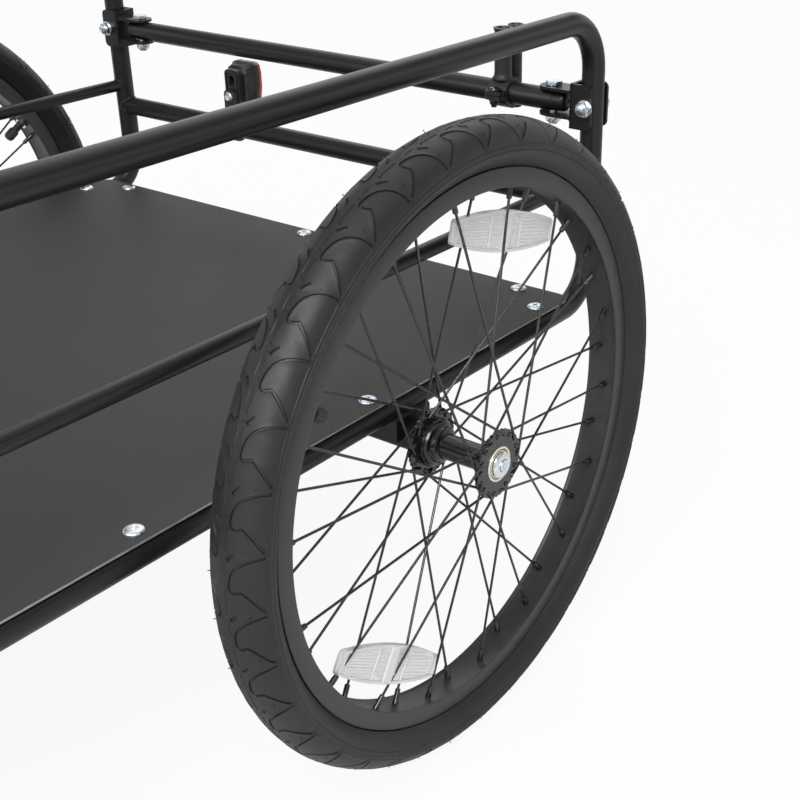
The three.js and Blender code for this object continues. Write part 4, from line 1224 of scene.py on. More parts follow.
    def lines(self) -> list[tuple[Vector, Vector, Vector]]:
        """Each spoke's head, elbow and end at the rim."""
        lines = []
        for index in range(self.spokes):
            rim_angle = self.first + math.tau * index / self.spokes
            side = 1 if index % 2 == 0 else -1
            leading = 1 if index % 4 in (0, 3) else -1
            hub_angle = rim_angle + self.wrap * leading
            spot = Vector((self.hole_circle * math.cos(hub_angle), 0, self.hole_circle * math.sin(hub_angle)))
            face = self.flange_half + self.spoke_radius
            elbow = spot + Vector((0, side * (self.flange_offset + face * leading), 0))
            head = spot + Vector((0, side * (self.flange_offset - (self.flange_half + 0.4) * leading), 0))
            bed = self.rim_radius - self.bed_depth + 0.6
            end = Vector((bed * math.cos(rim_angle), side * 3.0, bed * math.sin(rim_angle)))
            lines.append((head, elbow, end))
        return lines

    def spoke_set(self) -> Shape:
        """The spokes, each with its head in a flange's hole and its elbow on the face."""
        made = Shape()
        for head, elbow, end in self.lines():
            made.swept(bent([head, elbow, end], [0, 2.2, 0], steps=6), self.spoke_radius, 10)
            out = (head - elbow).normalized()
            aim = Matrix.Translation(head) @ out.to_track_quat("Z", "Y").to_matrix().to_4x4()
            made.join(Shape().turned([(0, -0.5), (2.0, -0.5), (1.9, 0.3), (1.2, 0.95), (0, 1.15)], Axis.Z, (0, 0, 0), 14), aim)
        return made

    def nipples(self) -> Shape:
        """The nipples between the spokes and the rim."""
        made = Shape()
        for _, elbow, end in self.lines():
            out = (end - elbow).normalized()
            aim = Matrix.Translation(end) @ out.to_track_quat("Z", "Y").to_matrix().to_4x4()
            body = [(0.9, -11.5), (1.75, -11.5), (2.0, -11.0), (2.0, -3.2), (2.35, -2.4), (2.35, 1.0), (0.9, 1.0)]
            made.join(Shape().turned(body, Axis.Z, (0, 0, 0), 12, closed=True), aim)
            made.join(Shape().prism([circle(2.15, 4, turn=math.pi / 4)], (-9.5, -4.5)), aim)
        return made

    def hub(self) -> Shape:
        """The hub's barrel, collar, cup and pierced flanges."""
        made = Shape()
        barrel = [(8.6, -31.5), (18.4, -31.5), (18.8, -30.9), (18.8, -25.5), (18.4, -23.4), (17.2, -21.6), (15.2, -20.8),
                  (14.2, -20.6), (13.8, -19.6), (13.8, -17.6), (12.9, -16.8), (10.6, -16.6), (9.8, -16), (9.6, 16),
                  (9.8, 18), (10.6, 20.5), (12.6, 23.5), (15.2, 26.3), (17.5, 28.2), (18.0, 29.5), (17.8, 30.6),
                  (15.0, 30.6), (15.0, 24), (8.6, 24), (8.6, -24), (15.0, -24), (15.0, -31.0), (8.6, -31.0)]
        made.turned(barrel, Axis.Y, (0, 0, 0), 72, closed=True)
        for side in (1, -1):
            angles = {round(math.atan2(h.z, h.x), 4) for h, e, _ in self.lines() if h.y * side > 0}
            holes = [circle(1.5, 12, (self.hole_circle * math.sin(a), self.hole_circle * math.cos(a)))
                     for a in sorted(angles)]
            outer = [(r * math.sin(a), r * math.cos(a)) for r, a in self._scallops(sorted(angles))]
            span = (side * self.flange_offset - self.flange_half, side * self.flange_offset + self.flange_half)
            made.prism([outer, circle(13.9, 48), *holes], span, Axis.Y)
        return made

    def _scallops(self, angles: Sequence[float]) -> list[Pair]:
        """The flange's edge, which swells a little at each hole.

        Args:
            angles: The holes' angles.

        Returns:
            Radius and angle of each point of the edge.
        """
        edge = []
        for i in range(180):
            a = math.tau * i / 180
            near = min(abs((a - b + math.pi) % math.tau - math.pi) for b in angles)
            edge.append((self.flange_radius - 0.8 + 0.8 * math.cos(near * len(angles) / 1.0) ** 2, a))
        return edge

    def bearing(self, side: int) -> Shape:
        """A bearing's cone, seal and locknut ring.

        Args:
            side: Which end of the hub it is in.

        Returns:
            The shape.
        """
        face = self.bearing_face
        outer, shown = self.bearing_radius, self.bearing_shown
        ring = [(11.4, 24.2), (outer, 24.2), (outer, 28.2), (shown, 28.2), (shown, face - 0.5), (shown - 0.3, face - 0.1),
                (shown - 0.9, face), (11.9, face), (11.5, face - 0.3), (11.4, face - 0.8)]
        seal = [(10.7, 24.2), (11.4, 24.2), (11.4, face - 0.7), (10.7, face - 0.7)]
        cone = [(6.4, 24.2), (10.7, 24.2), (10.7, face - 0.4), (10.3, face - 0.1), (6.4, face - 0.1)]
        made = Shape()
        for profile, slot in ((ring, 0), (seal, 1), (cone, 0)):
            made.turned([(r, side * y) for r, y in profile], Axis.Y, (0, 0, 0), 64, slot, True)
        return made

    def axle(self) -> Shape:
        """The axle, with a dished head round its button."""
        seat = self.bearing_face + 0.3
        profile = [(0, -92.6), (4.6, -92.6), (5.4, -91.9), (self.axle_radius, -90.6), (self.axle_radius, -80),
                   (5.4, -79.2), (5.4, -77.2), (self.axle_radius, -76.4), (self.axle_radius, seat), (self.head_radius - 0.4, seat),
                   (self.head_radius, seat + 0.4), (self.head_radius, seat + 1.8), (self.head_radius - 0.6, seat + 2.6),
                   (self.head_radius - 1.6, seat + 3.0), (4.9, seat + 3.0), (4.8, seat + 2.8), (4.8, seat - 4),
                   (0, seat - 4)]
        made = Shape().turned(profile, Axis.Y, (0, 0, 0), 56)
        for i in range(3):
            angle = math.tau * i / 3
            centre = (5.1 * math.cos(angle), -78.2, 5.1 * math.sin(angle))
            made.turned([(1.7 * math.sin(a), -1.7 * math.cos(a)) for a in (math.pi * j / 8 for j in range(9))],
                        Axis.Y, centre, 14)
        return made

    def button(self) -> Shape:
        """The push button, with a dimple in its face."""
        face = self.bearing_face + 4.3
        profile = [(0, face - 34), (2.2, face - 34), (2.2, face - 5), (4.5, face - 5), (4.5, face - 0.5),
                   (4.0, face - 0.1), (2.0, face - 0.1), (1.5, face - 0.35), (0.9, face - 0.85), (0, face - 1.0)]
        return Shape().turned(profile, Axis.Y, (0, 0, 0), 40)

    def reflector(self, angle: float, tilt: float, side: int) -> Shape:
        """A clear spoke reflector with three prism panels and its clip.

        Args:
            angle: Its place round the wheel.
            tilt: How far its length leans from level.
            side: Which side of the wheel's middle it is on.

        Returns:
            The shape.
        """
        half, wide = self.reflector_half, self.reflector_wide
        end = wide * 0.56
        outline = []
        for sign in (-1, 1):
            for share in (-1.0, -0.975, *(i / 8 - 0.875 for i in range(15)), 0.975, 1.0):
                bow = (1 - share * share) * (wide - end)
                edge = 0.8 if abs(share) == 1.0 else 1.0
                outline.append((sign * half * share, sign * (end * edge + bow)))
        thick = self.reflector_thick
        made = Shape().prism([outline], (-thick, thick))
        inner = [(u * 0.955, v * 0.84) for u, v in outline]
        for span in ((thick, thick + 0.8), (-thick - 0.8, -thick)):
            made.prism([outline, inner], span, slot=1)
        for panel, size, turn in ((-0.62, 2.6, 0.0), (0.0, 3.4, 0.5), (0.62, 2.2, 0.0)):
            self._prisms(made, (panel * half, half * 0.28), (size, turn), (half, wide, end))
        for u in (-0.31, 0.31):
            reach = end + (1 - u * u) * (wide - end)
            made.prism([rectangle((u * half - 0.7, u * half + 0.7), (-reach * 0.82, reach * 0.82))], (-thick - 0.7, thick + 0.7), slot=1)
        made.prism([rounded((-4.5, 4.5), (-wide * 0.95, wide * 0.95), 1.2, 3)],
                   (-thick - 1.6, thick + 1.6), slot=1)
        reach = self.reflector_reach
        aim = (Matrix.Translation((reach * math.cos(angle), side * 5.0, reach * math.sin(angle)))
               @ Matrix.Rotation(-tilt, 4, "Y") @ Matrix.Rotation(-math.pi / 2, 4, "X"))
        return made.moved(aim)

    def _prisms(self, made: Shape, panel: Pair, grid: Pair, sizes: tuple[float, float, float]) -> None:
        """Add a panel of low pyramids to both faces of a reflector.

        Args:
            made: The reflector so far.
            panel: The panel's middle along the reflector, and half its length.
            grid: A pyramid's side, and how far alternate rows are shifted.
            sizes: Half the reflector's length, and half its width in the middle and at its ends.
        """
        (middle, run), (size, turn), (half, wide, end) = panel, grid, sizes
        s, base, tip = size / 2, self.reflector_thick - 0.1, self.reflector_thick + 0.75
        for row in range(int(2 * wide / size)):
            v = -wide + size * (row + 0.5)
            for column in range(int(2 * run / size)):
                u = middle - run + size * (column + 0.5 + turn * (row % 2))
                limit = (end + (1 - (u / half) ** 2) * (wide - end)) * 0.82 - s
                if abs(v) > limit or abs(u - middle) > run - s:
                    continue
                for face in (1, -1):
                    points = [Vector((u + a * s, v + b * s, base * face)) for a, b in ((-1, -1), (1, -1), (1, 1), (-1, 1))]
                    made.add([*points, Vector((u, v, tip * face))], [(0, 1, 4), (1, 2, 4), (2, 3, 4), (3, 0, 4), (3, 2, 1, 0)])


# The frame


@dataclass(frozen=True)
class Layout:
    """Places that several assemblies share."""

    side: float = 293.0
    rear: float = -261.0
    front: float = 544.5
    bottom: float = 267.5
    top: float = 507.0
    tube: float = 9.5
    bar: float = 9.3
    bar_height: float = 435.99
    rail_height: float = 375.99
    middle_height: float = 353.96
    member_rear: float = -216.0
    member_front: float = 499.5
    deck_top: float = 279.3


AT = Layout()


@dataclass(frozen=True)
class SideFrame:
    """A looped tube side with its middle rail; its axle saddle is built with the axle tube."""

    hand: Hand
    lower_bend: float = 38.0
    upper_bend: float = 42.0
    rail: float = 6.0

    def build(self) -> None:
        """Build the loop with its rail and welds."""
        y = self.hand.value * AT.side
        corners = [Vector((AT.front, y, AT.bottom)), Vector((AT.front, y, AT.top)),
                   Vector((AT.rear, y, AT.top)), Vector((AT.rear, y, AT.bottom))]
        bends = [self.lower_bend, self.upper_bend, self.upper_bend, self.lower_bend]
        made = Shape().swept(bent(corners, bends, True, 16), AT.tube, 36, True)
        made.turned([(0, AT.rear + 4), (self.rail, AT.rear + 4), (self.rail, AT.front - 4), (0, AT.front - 4)], Axis.X,
                    (0, y, AT.rail_height), 28)
        for x, sign in ((AT.rear, 1), (AT.front, -1)):
            made.weld((x, y, AT.rail_height), Vector((sign, 0, 0)), Vector((0, 1, 0)), self.rail, AT.tube, 1.3)
        for x, wide in ((AT.rear, 1.0), (AT.front, 1.0)):
            for end in (1, -1):
                made.weld((x, y, AT.middle_height), Vector((0, -self.hand.value, 0)), Vector((1, 0, 0)), AT.bar,
                          AT.tube, 1.5 * wide)
                break
        for x in (AT.member_rear, AT.member_front):
            made.weld((x, y, AT.bottom), Vector((0, -self.hand.value, 0)), Vector((0, 0, 1)), AT.tube, AT.tube, 1.5)
        word = f"side_frame_{self.hand.word}"
        Piece(f"{word}_loop", made, [SATIN_BLACK], replaces=[word]).build()


@dataclass(frozen=True)
class Crossbars:
    """The bolted upper bars and the welded bars below them."""

    upper_end: float = 269.0
    welded_end: float = 284.5

    def build(self) -> None:
        """Build every bar."""
        for x, member, word in ((AT.rear, AT.member_rear, "rear"), (AT.front, AT.member_front, "front")):
            for z, name in ((AT.bar_height, "upper_crossbar"),):
                Piece(f"{name}_{word}_tube", self.upper(x, z), [SATIN_BLACK], replaces=[f"{name}_{word}"]).build()
            middle = self.welded(x, AT.middle_height, AT.bar)
            Piece(f"middle_crossbar_{word}_tube", middle, [SATIN_BLACK], replaces=[f"middle_crossbar_{word}"]).build()
            lower = self.welded(member, AT.bottom, AT.tube)
            Piece(f"lower_crossmember_{word}_tube", lower, [SATIN_BLACK],
                  replaces=[f"lower_crossmember_{word}"]).build()

    def upper(self, x: float, z: float) -> Shape:
        """An upper bar, with a swaged end and a cap at each side.

        Args:
            x: Its place along the trailer.
            z: Its height.

        Returns:
            The shape.
        """
        end, r = self.upper_end, AT.bar
        half = [(r, 0), (r, end - 12.4), (r - 0.1, end - 11.9), (r - 0.55, end - 11.5), (r - 0.6, end - 3.6),
                (r - 0.9, end - 2.0), (r - 1.8, end - 0.7), (r - 3.0, end), (2.0, end), (1.6, end - 0.5), (0, end - 0.6)]
        profile = [(radius, -along) for radius, along in reversed(half[1:])] + half
        return Shape().turned(profile, Axis.Y, (x, 0, z), 40)

    def welded(self, x: float, z: float, radius: float) -> Shape:
        """A bar that is welded at both ends.

        Args:
            x: Its place along the trailer.
            z: Its height.
            radius: Its radius.

        Returns:
            The shape.
        """
        end = self.welded_end
        profile = [(0, -end), (radius, -end), (radius, -end / 3), (radius, end / 3), (radius, end), (0, end)]
        return Shape().turned(profile, Axis.Y, (x, 0, z), 40)


@dataclass(frozen=True)
class Bracket:
    """A folded corner bracket with its two bolts."""

    end: str
    hand: Hand
    web: Pair = (12.0, 15.0)
    flange: Pair = (9.8, 12.3)
    ear: Pair = (9.6, 12.1)
    half_height: float = 18.5
    reaches: Pair = (8.0, 6.0)
    corner: float = 5.0
    ear_half: float = 11.0
    ear_tip: float = 50.0
    bolt_inset: float = 38.0
    hole: float = 4.4

    @staticmethod
    def tab(start: float, tip: float, half: float, radius: float) -> list[Pair]:
        """A strip's outline with a rounded far end.

        Args:
            start: Where the strip starts.
            tip: Where it ends.
            half: Half its width.
            radius: Its far corners' radius.

        Returns:
            The outline.
        """
        arc = [math.pi / 2 * (i / 8 - 1) for i in range(9)]
        low = [(tip - radius + radius * math.cos(a), -half + radius + radius * math.sin(a)) for a in arc]
        high = [(u, -v) for u, v in reversed(low)]
        return [(start, -half), *low, *high[1 if radius == half else 0:], (start, half)]

    def build(self) -> None:
        """Build the bracket and its bolts."""
        x = AT.rear if self.end == "rear" else AT.front
        y = self.hand.value * AT.side
        word = f"{self.end}_{self.hand.word}"
        mirror = Matrix.Translation((x, y, AT.bar_height)) @ Matrix.Scale(self.hand.value, 4, (0, 1, 0))
        folded = self.shape().moved(mirror)
        Piece(f"bracket_{word}_plates", folded, [SATIN_BLACK], replaces=[f"bracket_{word}"], bevel=0.5).build()
        upright = Bolt(4.0, self.flange[1], nut_radius=6.8, tail=1.6).shape(Axis.X, (0, 0, 0))
        upright.moved(Matrix.Translation((x, y, AT.bar_height)) @ Matrix.Rotation(math.pi, 4, "Z"))
        Piece(f"upright_bolt_{word}_set", upright, [BRIGHT_ZINC], replaces=[f"upright_bolt_{word}"]).build()
        inset = (x, y - self.hand.value * self.bolt_inset, AT.bar_height)
        cross = Bolt(4.0, self.ear[1], 7.4, 3.4, nut_height=6.0, tail=1.8).shape(Axis.Z, inset)
        Piece(f"crossbar_bolt_{word}_set", cross, [BRIGHT_ZINC], replaces=[f"crossbar_bolt_{word}"]).build()

    def shape(self) -> Shape:
        """The folded plates, about the joint, with the hoop's outside toward +y."""
        made = Shape()
        hole = circle(self.hole, 20)
        spans = ((-self.flange[1], -self.flange[0]), self.flange)
        for span, reach in zip(spans, self.reaches):
            flange = self.tab(-self.web[1] + 0.4, reach, self.half_height, self.corner)
            made.prism([flange, hole], span, Axis.X)
        wide, fold = self.flange[1], 2.6
        section = rounded((-wide, wide), (-self.web[1], -self.web[0]), 1.2, 3)
        made.prism([section], (-self.half_height, self.half_height), Axis.Z)
        for sign in (1, -1):
            crease = [(sign * self.flange[0], -self.web[0]), (sign * (self.flange[0] - fold), -self.web[0])]
            arc = [(sign * (self.flange[0] - fold + fold * math.sin(a)), -self.web[0] + fold - fold * math.cos(a))
                   for a in (math.pi / 12 * i for i in range(7))]
            made.prism([crease[:1] + arc[::-1]], (-self.half_height + 0.3, self.half_height - 0.3), Axis.Z)
        ear = [(v, -u) for u, v in self.tab(self.web[0], self.ear_tip, self.ear_half, self.ear_half)]
        bore = circle(self.hole, 20, (0.0, -self.bolt_inset))
        for low, high in ((-self.ear[1], -self.ear[0]), self.ear):
            made.prism([ear, bore], (low, high), Axis.Z)
            middle = (low + high) / 2
            root = Vector((-self.ear_half, -self.web[1] - 0.1, middle + math.copysign(1.2, middle)))
            made.rippled([root + Vector((i * 0.55, 0, 0)) for i in range(41)], 1.1)
        return made


@dataclass(frozen=True)
class AxleTube:
    """The tube that takes both axles, with saddles under the side frames."""

    radius: float = 12.0
    height: float = 243.0
    end: float = 318.4
    bore: float = 6.4
    saddle_half: float = 20.0
    saddle_wide: float = 11.5
    saddle_top: float = 263.0

    def build(self) -> None:
        """Build the tube and its saddles."""
        end, r = self.end, self.radius
        half = [(r, 0), (r, end - 9), (r + 0.9, end - 8.2), (r + 0.9, end - 1.0), (r + 0.1, end - 0.2), (r - 1.4, end),
                (self.bore + 0.6, end), (self.bore, end - 0.6), (self.bore, end - 62), (0, end - 62.2)]
        profile = [(radius, -along) for radius, along in reversed(half[1:])] + half
        made = Shape().turned(profile, Axis.Y, (0, 0, self.height), 48)
        for hand in Hand:
            self._saddle(made, hand.value * AT.side)
        Piece("axle_tube_with_saddles", made, [SATIN_BLACK], replaces=["axle_tube"]).build()

    def _saddle(self, made: Shape, y: float) -> None:
        """Add the block between the tube and a side frame.

        Args:
            made: The shape so far.
            y: The side frame's place.
        """
        seat = AT.tube + 0.3
        drop = self.saddle_top - AT.bottom
        edge = math.acos(-drop / seat)
        arc = [(y + seat * math.sin(a), AT.bottom - seat * math.cos(a))
               for a in (edge - 2 * edge * i / 14 for i in range(15))]
        wide = self.saddle_wide
        section = [(y - wide, self.height + 2), (y + wide, self.height + 2), (y + wide, self.saddle_top - 1.2),
                   (y + wide - 1.2, self.saddle_top), *arc, (y - wide + 1.2, self.saddle_top),
                   (y - wide, self.saddle_top - 1.2)]
        made.prism([section], (-self.saddle_half, self.saddle_half), Axis.X)
        for sign in (1, -1):
            line = [Vector((-self.saddle_half + 1 + 0.5 * i, y + sign * 8.9, self.saddle_top - 0.2)) for i in range(77)]
            made.rippled(line, 1.1)
            foot = [Vector((sign * (r_ := self.radius - 0.2) * 1.0, y - wide + 0.5 * i, self.height + 2.6))
                    for i in range(47)]
            made.rippled(foot, 1.3)


@dataclass(frozen=True)
class Deck:
    """The pressed deck sheet with its screws, and a lighter band round its edge that is a painted highlight."""

    x: Pair = (-227.0, 510.5)
    half: float = 300.0
    z: Pair = (277.3, 279.3)
    corner: float = 14.0
    screw: float = 7.0
    screw_height: float = 2.4
    rows: tuple[float, ...] = (-252.0, 0.0, 252.0)
    columns: tuple[float, ...] = (-189.0, 31.5, 252.0, 472.5)
    edge: float = 287.5

    def build(self) -> None:
        """Build the sheet, its painted edge highlight and the screws."""
        sheet = rounded(self.x, (-self.half, self.half), self.corner, 14)
        holes = [circle(2.6, 16, place) for place in self.places()]
        made = Shape().prism([sheet, *holes], self.z)
        Piece("deck_sheet", made, [DECK_COAT], replaces=["deck"], bevel=0.35).build()
        # A thin lighter band round the sheet's edge: a painted highlight where the edge catches the light.
        low, high = self.x
        outer = rounded((low - 0.15, high + 0.15), (-self.half - 0.15, self.half + 0.15), self.corner, 14)
        inner = rounded((low + 0.8, high - 0.8), (-self.half + 0.8, self.half - 0.8), self.corner - 0.8, 14)
        edge = Shape().prism([outer, inner], (self.z[0] + 0.25, self.z[1] - 0.2))
        Piece("deck_edge_painted_highlight", edge, [DECK_EDGE_HIGHLIGHT]).build()
        screws = Shape()
        draw = random.Random(4)
        for place in self.places():
            self._screw(screws, place, draw.uniform(0, math.pi / 2))
        Piece("deck_screws", screws, [BRIGHT_ZINC], crease=28.0).build()

    def places(self) -> list[Pair]:
        """Where the screws are."""
        ends = [(x, y) for x in (AT.member_rear, AT.member_front) for y in self.rows]
        return ends + [(x, sign * self.edge) for x in self.columns for sign in (1, -1)]

    def _screw(self, made: Shape, place: Pair, turn: float) -> None:
        """Add a pan head screw with a cross recess.

        Args:
            made: The shape so far.
            place: Where it is.
            turn: How far its cross is turned.
        """
        r, h, top = self.screw, self.screw_height, self.z[1]
        rim = 3.4
        arc = [(rim + (r - rim) * math.cos(a), 0.5 + (h - 0.5) * math.sin(a)) for a in (math.pi / 16 * i for i in range(9))]
        ring = [(rim, -5.0), (2.4, -5.0), (2.4, -0.1), (r - 0.3, -0.1), (r, 0.0), *arc, (rim, h)]
        made.turned([(radius, top + z) for radius, z in ring[2:]] + [(rim, top - 0.1)], Axis.Z, (*place, 0), 36,
                    closed=True)
        arm, wide = 2.9, 0.8
        cross = [(wide, wide), (wide, arm), (-wide, arm), (-wide, wide), (-arm, wide), (-arm, -wide), (-wide, -wide),
                 (-wide, -arm), (wide, -arm), (wide, -wide), (arm, -wide), (arm, wide)]
        spin = Matrix.Translation((*place, top)) @ Matrix.Rotation(turn, 4, "Z")
        made.prism([circle(rim, 36, turn=-turn), cross], (h - 1.6, h), place=spin)
        made.prism([circle(rim, 36, turn=-turn)], (0.0, h - 1.6), place=spin)


@dataclass(frozen=True)
class RearReflector:
    """The red reflector that is clamped to the rear middle bar."""

    y: float = -130.0
    x: Pair = (-288.0, -261.0)
    z: Pair = (372.3, 416.3)
    half: float = 17.0
    lip: float = 3.0
    ring: Pair = (9.6, 13.1)
    ring_half: float = 9.0
    tongue: Pair = (-260.7, -257.2)
    screw_height: float = 385.3

    def build(self) -> None:
        """Build the housing, the lens and the clamp."""
        Piece("rear_reflector_shell", self.shell(), [BLACK_PLASTIC], replaces=["rear_reflector_housing"],
              bevel=0.4).build()
        Piece("rear_reflector_prisms", self.lens(), [RED_PRISM], replaces=["rear_reflector_lens"], bevel=0.2).build()
        Piece("rear_reflector_band", self.clamp(), [BLACK_PLASTIC, BRIGHT_ZINC], replaces=["rear_reflector_clamp"],
              bevel=0.35).build()

    def outline(self, inset: float, corner: float) -> list[Pair]:
        """The reflector's outline, with its lower corners cut.

        Args:
            inset: How far inside the edge it runs.
            corner: How much is cut off each corner.

        Returns:
            The outline, as y and z.
        """
        low, high, wide = self.z[0] + inset, self.z[1] - inset, self.half - inset
        middle = (low + high) / 2
        half = [(wide - corner, high), (wide - corner * 0.3, high - corner * 0.35), (wide, high - corner * 1.6),
                (wide, middle - 2), (wide - corner * 0.45, low + corner * 0.9), (wide - corner * 1.3, low)]
        return [(self.y + u, v) for u, v in [*half, *((-u, v) for u, v in reversed(half))]]

    def shell(self) -> Shape:
        """The black housing, which steps down to a mounting pad at the front."""
        made = Shape()
        levels = [(self.x[0] + 3.4, 0.0, 6.0), (self.x[0] + 7.5, 0.0, 6.0), (self.x[0] + 9.5, 1.2, 6.5),
                  (self.x[0] + 17.0, 2.4, 8.0), (self.x[0] + 19.0, 4.6, 9.0)]
        loops = [[Vector((x, u, v)) for u, v in self.outline(inset, cut)] for x, inset, cut in levels]
        count = len(loops[0])
        points = [point for loop in loops for point in loop]
        faces = [tuple(range(count)), tuple(range((len(loops) - 1) * count, len(loops) * count))]
        for ring in range(len(loops) - 1):
            low, high = ring * count, (ring + 1) * count
            faces += [(low + i, low + (i + 1) % count, high + (i + 1) % count, high + i) for i in range(count)]
        made.add(points, faces)
        front = self.x[1]
        pad = [(self.y + u, v) for u, v in rounded((-9.5, 9.5), (self.z[0] + 1.2, self.z[1] - 5.0), 5.0, 8)]
        hole = circle(2.6, 20, (self.y, self.screw_height))
        slot = [(self.y + u, self.screw_height + 14 + v) for u, v in rounded((-3.6, 3.6), (-4.5, 6.0), 3.4, 8)]
        made.prism([pad, slot, hole], (self.x[0] + 18, front - 1.2), Axis.X)
        rim = [(self.y + u, v) for u, v in rounded((-8.0, 8.0), (self.z[0] + 2.8, self.z[1] - 6.6), 4.2, 8)]
        inner = [(self.y + u, v) for u, v in rounded((-6.6, 6.6), (self.z[0] + 4.2, self.z[1] - 8.0), 3.2, 8)]
        made.prism([rim, inner], (front - 1.6, front), Axis.X)
        for side in (-13.0, 13.0):
            for step in (0.0, 1.8):
                u = math.copysign(abs(side) - step * 1.4, side)
                rib = rectangle((self.y + u - 0.55, self.y + u + 0.55), (self.z[0] + 8, self.z[1] - 9))
                made.prism([rib], (self.x[0] + 17.5, self.x[0] + 20.8 + step), Axis.X)
        return made

    def lens(self) -> Shape:
        """The red lens, whose rim wraps the housing's edge."""
        made = Shape()
        back, front = self.x[0], self.x[0] + 3.3
        made.prism([self.outline(0.0, 6.0), self.outline(2.4, 5.0)], (back, front), Axis.X)
        made.prism([self.outline(2.2, 5.0)], (back + 0.9, front), Axis.X)
        size = 2.5
        for row in range(16):
            for column in range(12):
                u = self.y - 13.75 + size * column
                v = self.z[0] + 4.0 + size * row
                if abs(u - self.y) > 13.4 or v > self.z[1] - 4.4 or (abs(u - self.y) > 11 and v < self.z[0] + 6):
                    continue
                s = size / 2
                base = [Vector((back + 1.0, u + a * s, v + b * s)) for a, b in ((-1, -1), (1, -1), (1, 1), (-1, 1))]
                made.add([*base, Vector((back + 0.1, u, v))], [(0, 1, 4), (1, 2, 4), (2, 3, 4), (3, 0, 4), (3, 2, 1, 0)])
        return made

    def clamp(self) -> Shape:
        """The band round the bar, its tongue and its screw."""
        made = Shape()
        half = self.ring_half
        band = [(self.ring[0], -half), (self.ring[1] - 0.7, -half), (self.ring[1], -half + 0.7), (self.ring[1], half - 0.7),
                (self.ring[1] - 0.7, half), (self.ring[0], half)]
        made.turned(band, Axis.Y, (AT.rear, self.y, AT.middle_height), 48, closed=True)
        tongue = rounded((self.y - half + 1.5, self.y + half - 1.5), (AT.middle_height + 10.5, 392.0), 5.0, 6)
        made.prism([tongue, circle(2.6, 20, (self.y, self.screw_height))], self.tongue, Axis.X)
        face = self.tongue[1]
        screw = [(0, face - 6.0), (2.4, face - 6.0), (2.4, face), (4.8, face), (5.3, face + 0.5), (5.2, face + 1.3),
                 (4.6, face + 2.1), (3.4, face + 2.5), (2.2, face + 2.6), (1.9, face + 1.6), (0, face + 1.4)]
        made.turned(screw, Axis.X, (0, self.y, self.screw_height), 36, 1)
        return made


@dataclass(frozen=True)
class PoleSocket:
    """A clamp on the rear upper bar with two upright barrels."""

    y: float = 205.0
    half: float = 9.5
    x: Pair = (-273.8, -239.7)
    upper: Pair = (436.3, 448.8)
    lower: Pair = (423.2, 435.7)
    front_barrel: Pair = (-258.0, 7.5)
    rear_barrel: Pair = (-276.65, 5.75)
    bore: float = 4.3
    top: float = 490.0
    foot: float = 420.0
    bolt: float = -244.7

    def build(self) -> None:
        """Build both halves and the bolt."""
        upper = self.half_block(self.upper, 1)
        self._barrels(upper)
        Piece("pole_socket_upper_half", upper, [BLACK_PLASTIC], replaces=["pole_socket_upper"], bevel=0.5).build()
        lower = self.half_block(self.lower, -1)
        Piece("pole_socket_lower_half", lower, [BLACK_PLASTIC], replaces=["pole_socket_lower"], bevel=0.5).build()
        Piece("pole_socket_screw", self.screw(), [HUB_BLACK], replaces=["pole_socket_bolt"]).build()

    def half_block(self, z: Pair, side: int) -> Shape:
        """Half of the clamp round the bar.

        Args:
            z: Its height's extent.
            side: Whether it is above or below the bar.

        Returns:
            The shape.
        """
        seat, outer, ear = AT.bar + 0.3, AT.bar + 3.7, 3.4
        near = z[0] if side > 0 else z[1]
        gap = abs(near - AT.bar_height)
        steps = [i / 18 for i in range(19)]
        spans = ((seat, math.asin(gap / seat), math.pi - math.asin(gap / seat)),
                 (outer, math.pi - math.asin(gap / outer), math.asin((gap + ear) / outer)))
        section = [(AT.bar_height + side * r * math.sin(start + (end - start) * t),
                    AT.rear + r * math.cos(start + (end - start) * t)) for r, start, end in spans for t in steps]
        tip = self.x[1]
        section += [(near + side * ear, tip - 4), (near + side * ear, tip - 5), (near, tip - 5)]
        made = Shape().prism([section], (self.y - self.half, self.y + self.half), Axis.Y)
        lug = rounded((tip - 14, tip), (self.y - self.half + 2, self.y + self.half - 2), 4.0, 6)
        low = near if side > 0 else near - ear
        made.prism([lug, circle(2.7, 16, (self.bolt, self.y))], (low, low + ear))
        return made

    def _barrels(self, made: Shape) -> None:
        """Add the two barrels.

        Args:
            made: The upper half so far.
        """
        x, r = self.front_barrel
        inner, top = 5.2, self.top
        front = [(inner, 452.0), (inner, top - 1.2), (inner + 0.7, top), (r + 1.0, top), (r + 1.2, top - 0.4),
                 (r + 0.2, top - 2.8), (r, top - 3.6), (r, 453), (r + 0.3, 450.6), (r + 1.1, 449.0), (r + 1.2, 447.2),
                 (0, 447.2), (0, 452.0)]
        made.turned(front, Axis.Z, (x, self.y, 0), 44)
        x, r = self.rear_barrel
        rear = [(self.bore, self.foot), (r - 0.4, self.foot), (r, self.foot + 0.4), (r, top - 3.4), (r + 0.2, top - 2.8),
                (r + 1.2, top - 0.4), (r + 1.0, top), (self.bore + 0.6, top), (self.bore, top - 1.0)]
        made.turned(rear, Axis.Z, (x, self.y, 0), 40, closed=True)
        web = rectangle((-269.8, -264.0), (self.y - 1.6, self.y + 1.6))
        made.prism([web], (448.0, top - 8))

    def screw(self) -> Shape:
        """The clamp's domed screw and its nut."""
        made = Shape()
        seat = self.upper[0] + 3.5
        foot = self.lower[1] - 3.5
        head = [(0, foot - 6.5), (2.3, foot - 6.5), (2.5, foot - 6.0), (2.5, seat), (4.2, seat), (4.4, seat + 0.4),
                (4.2, seat + 1.4), (3.5, seat + 2.3), (2.4, seat + 2.7), (0, seat + 2.8)]
        made.turned(head, Axis.Z, (self.bolt, self.y, 0), 32)
        made.join(Bolt.hexagon(4.3, foot - 4.0, foot - 0.1, 0.2), Matrix.Translation((self.bolt, self.y, 0)))
        return made


# The drawbar


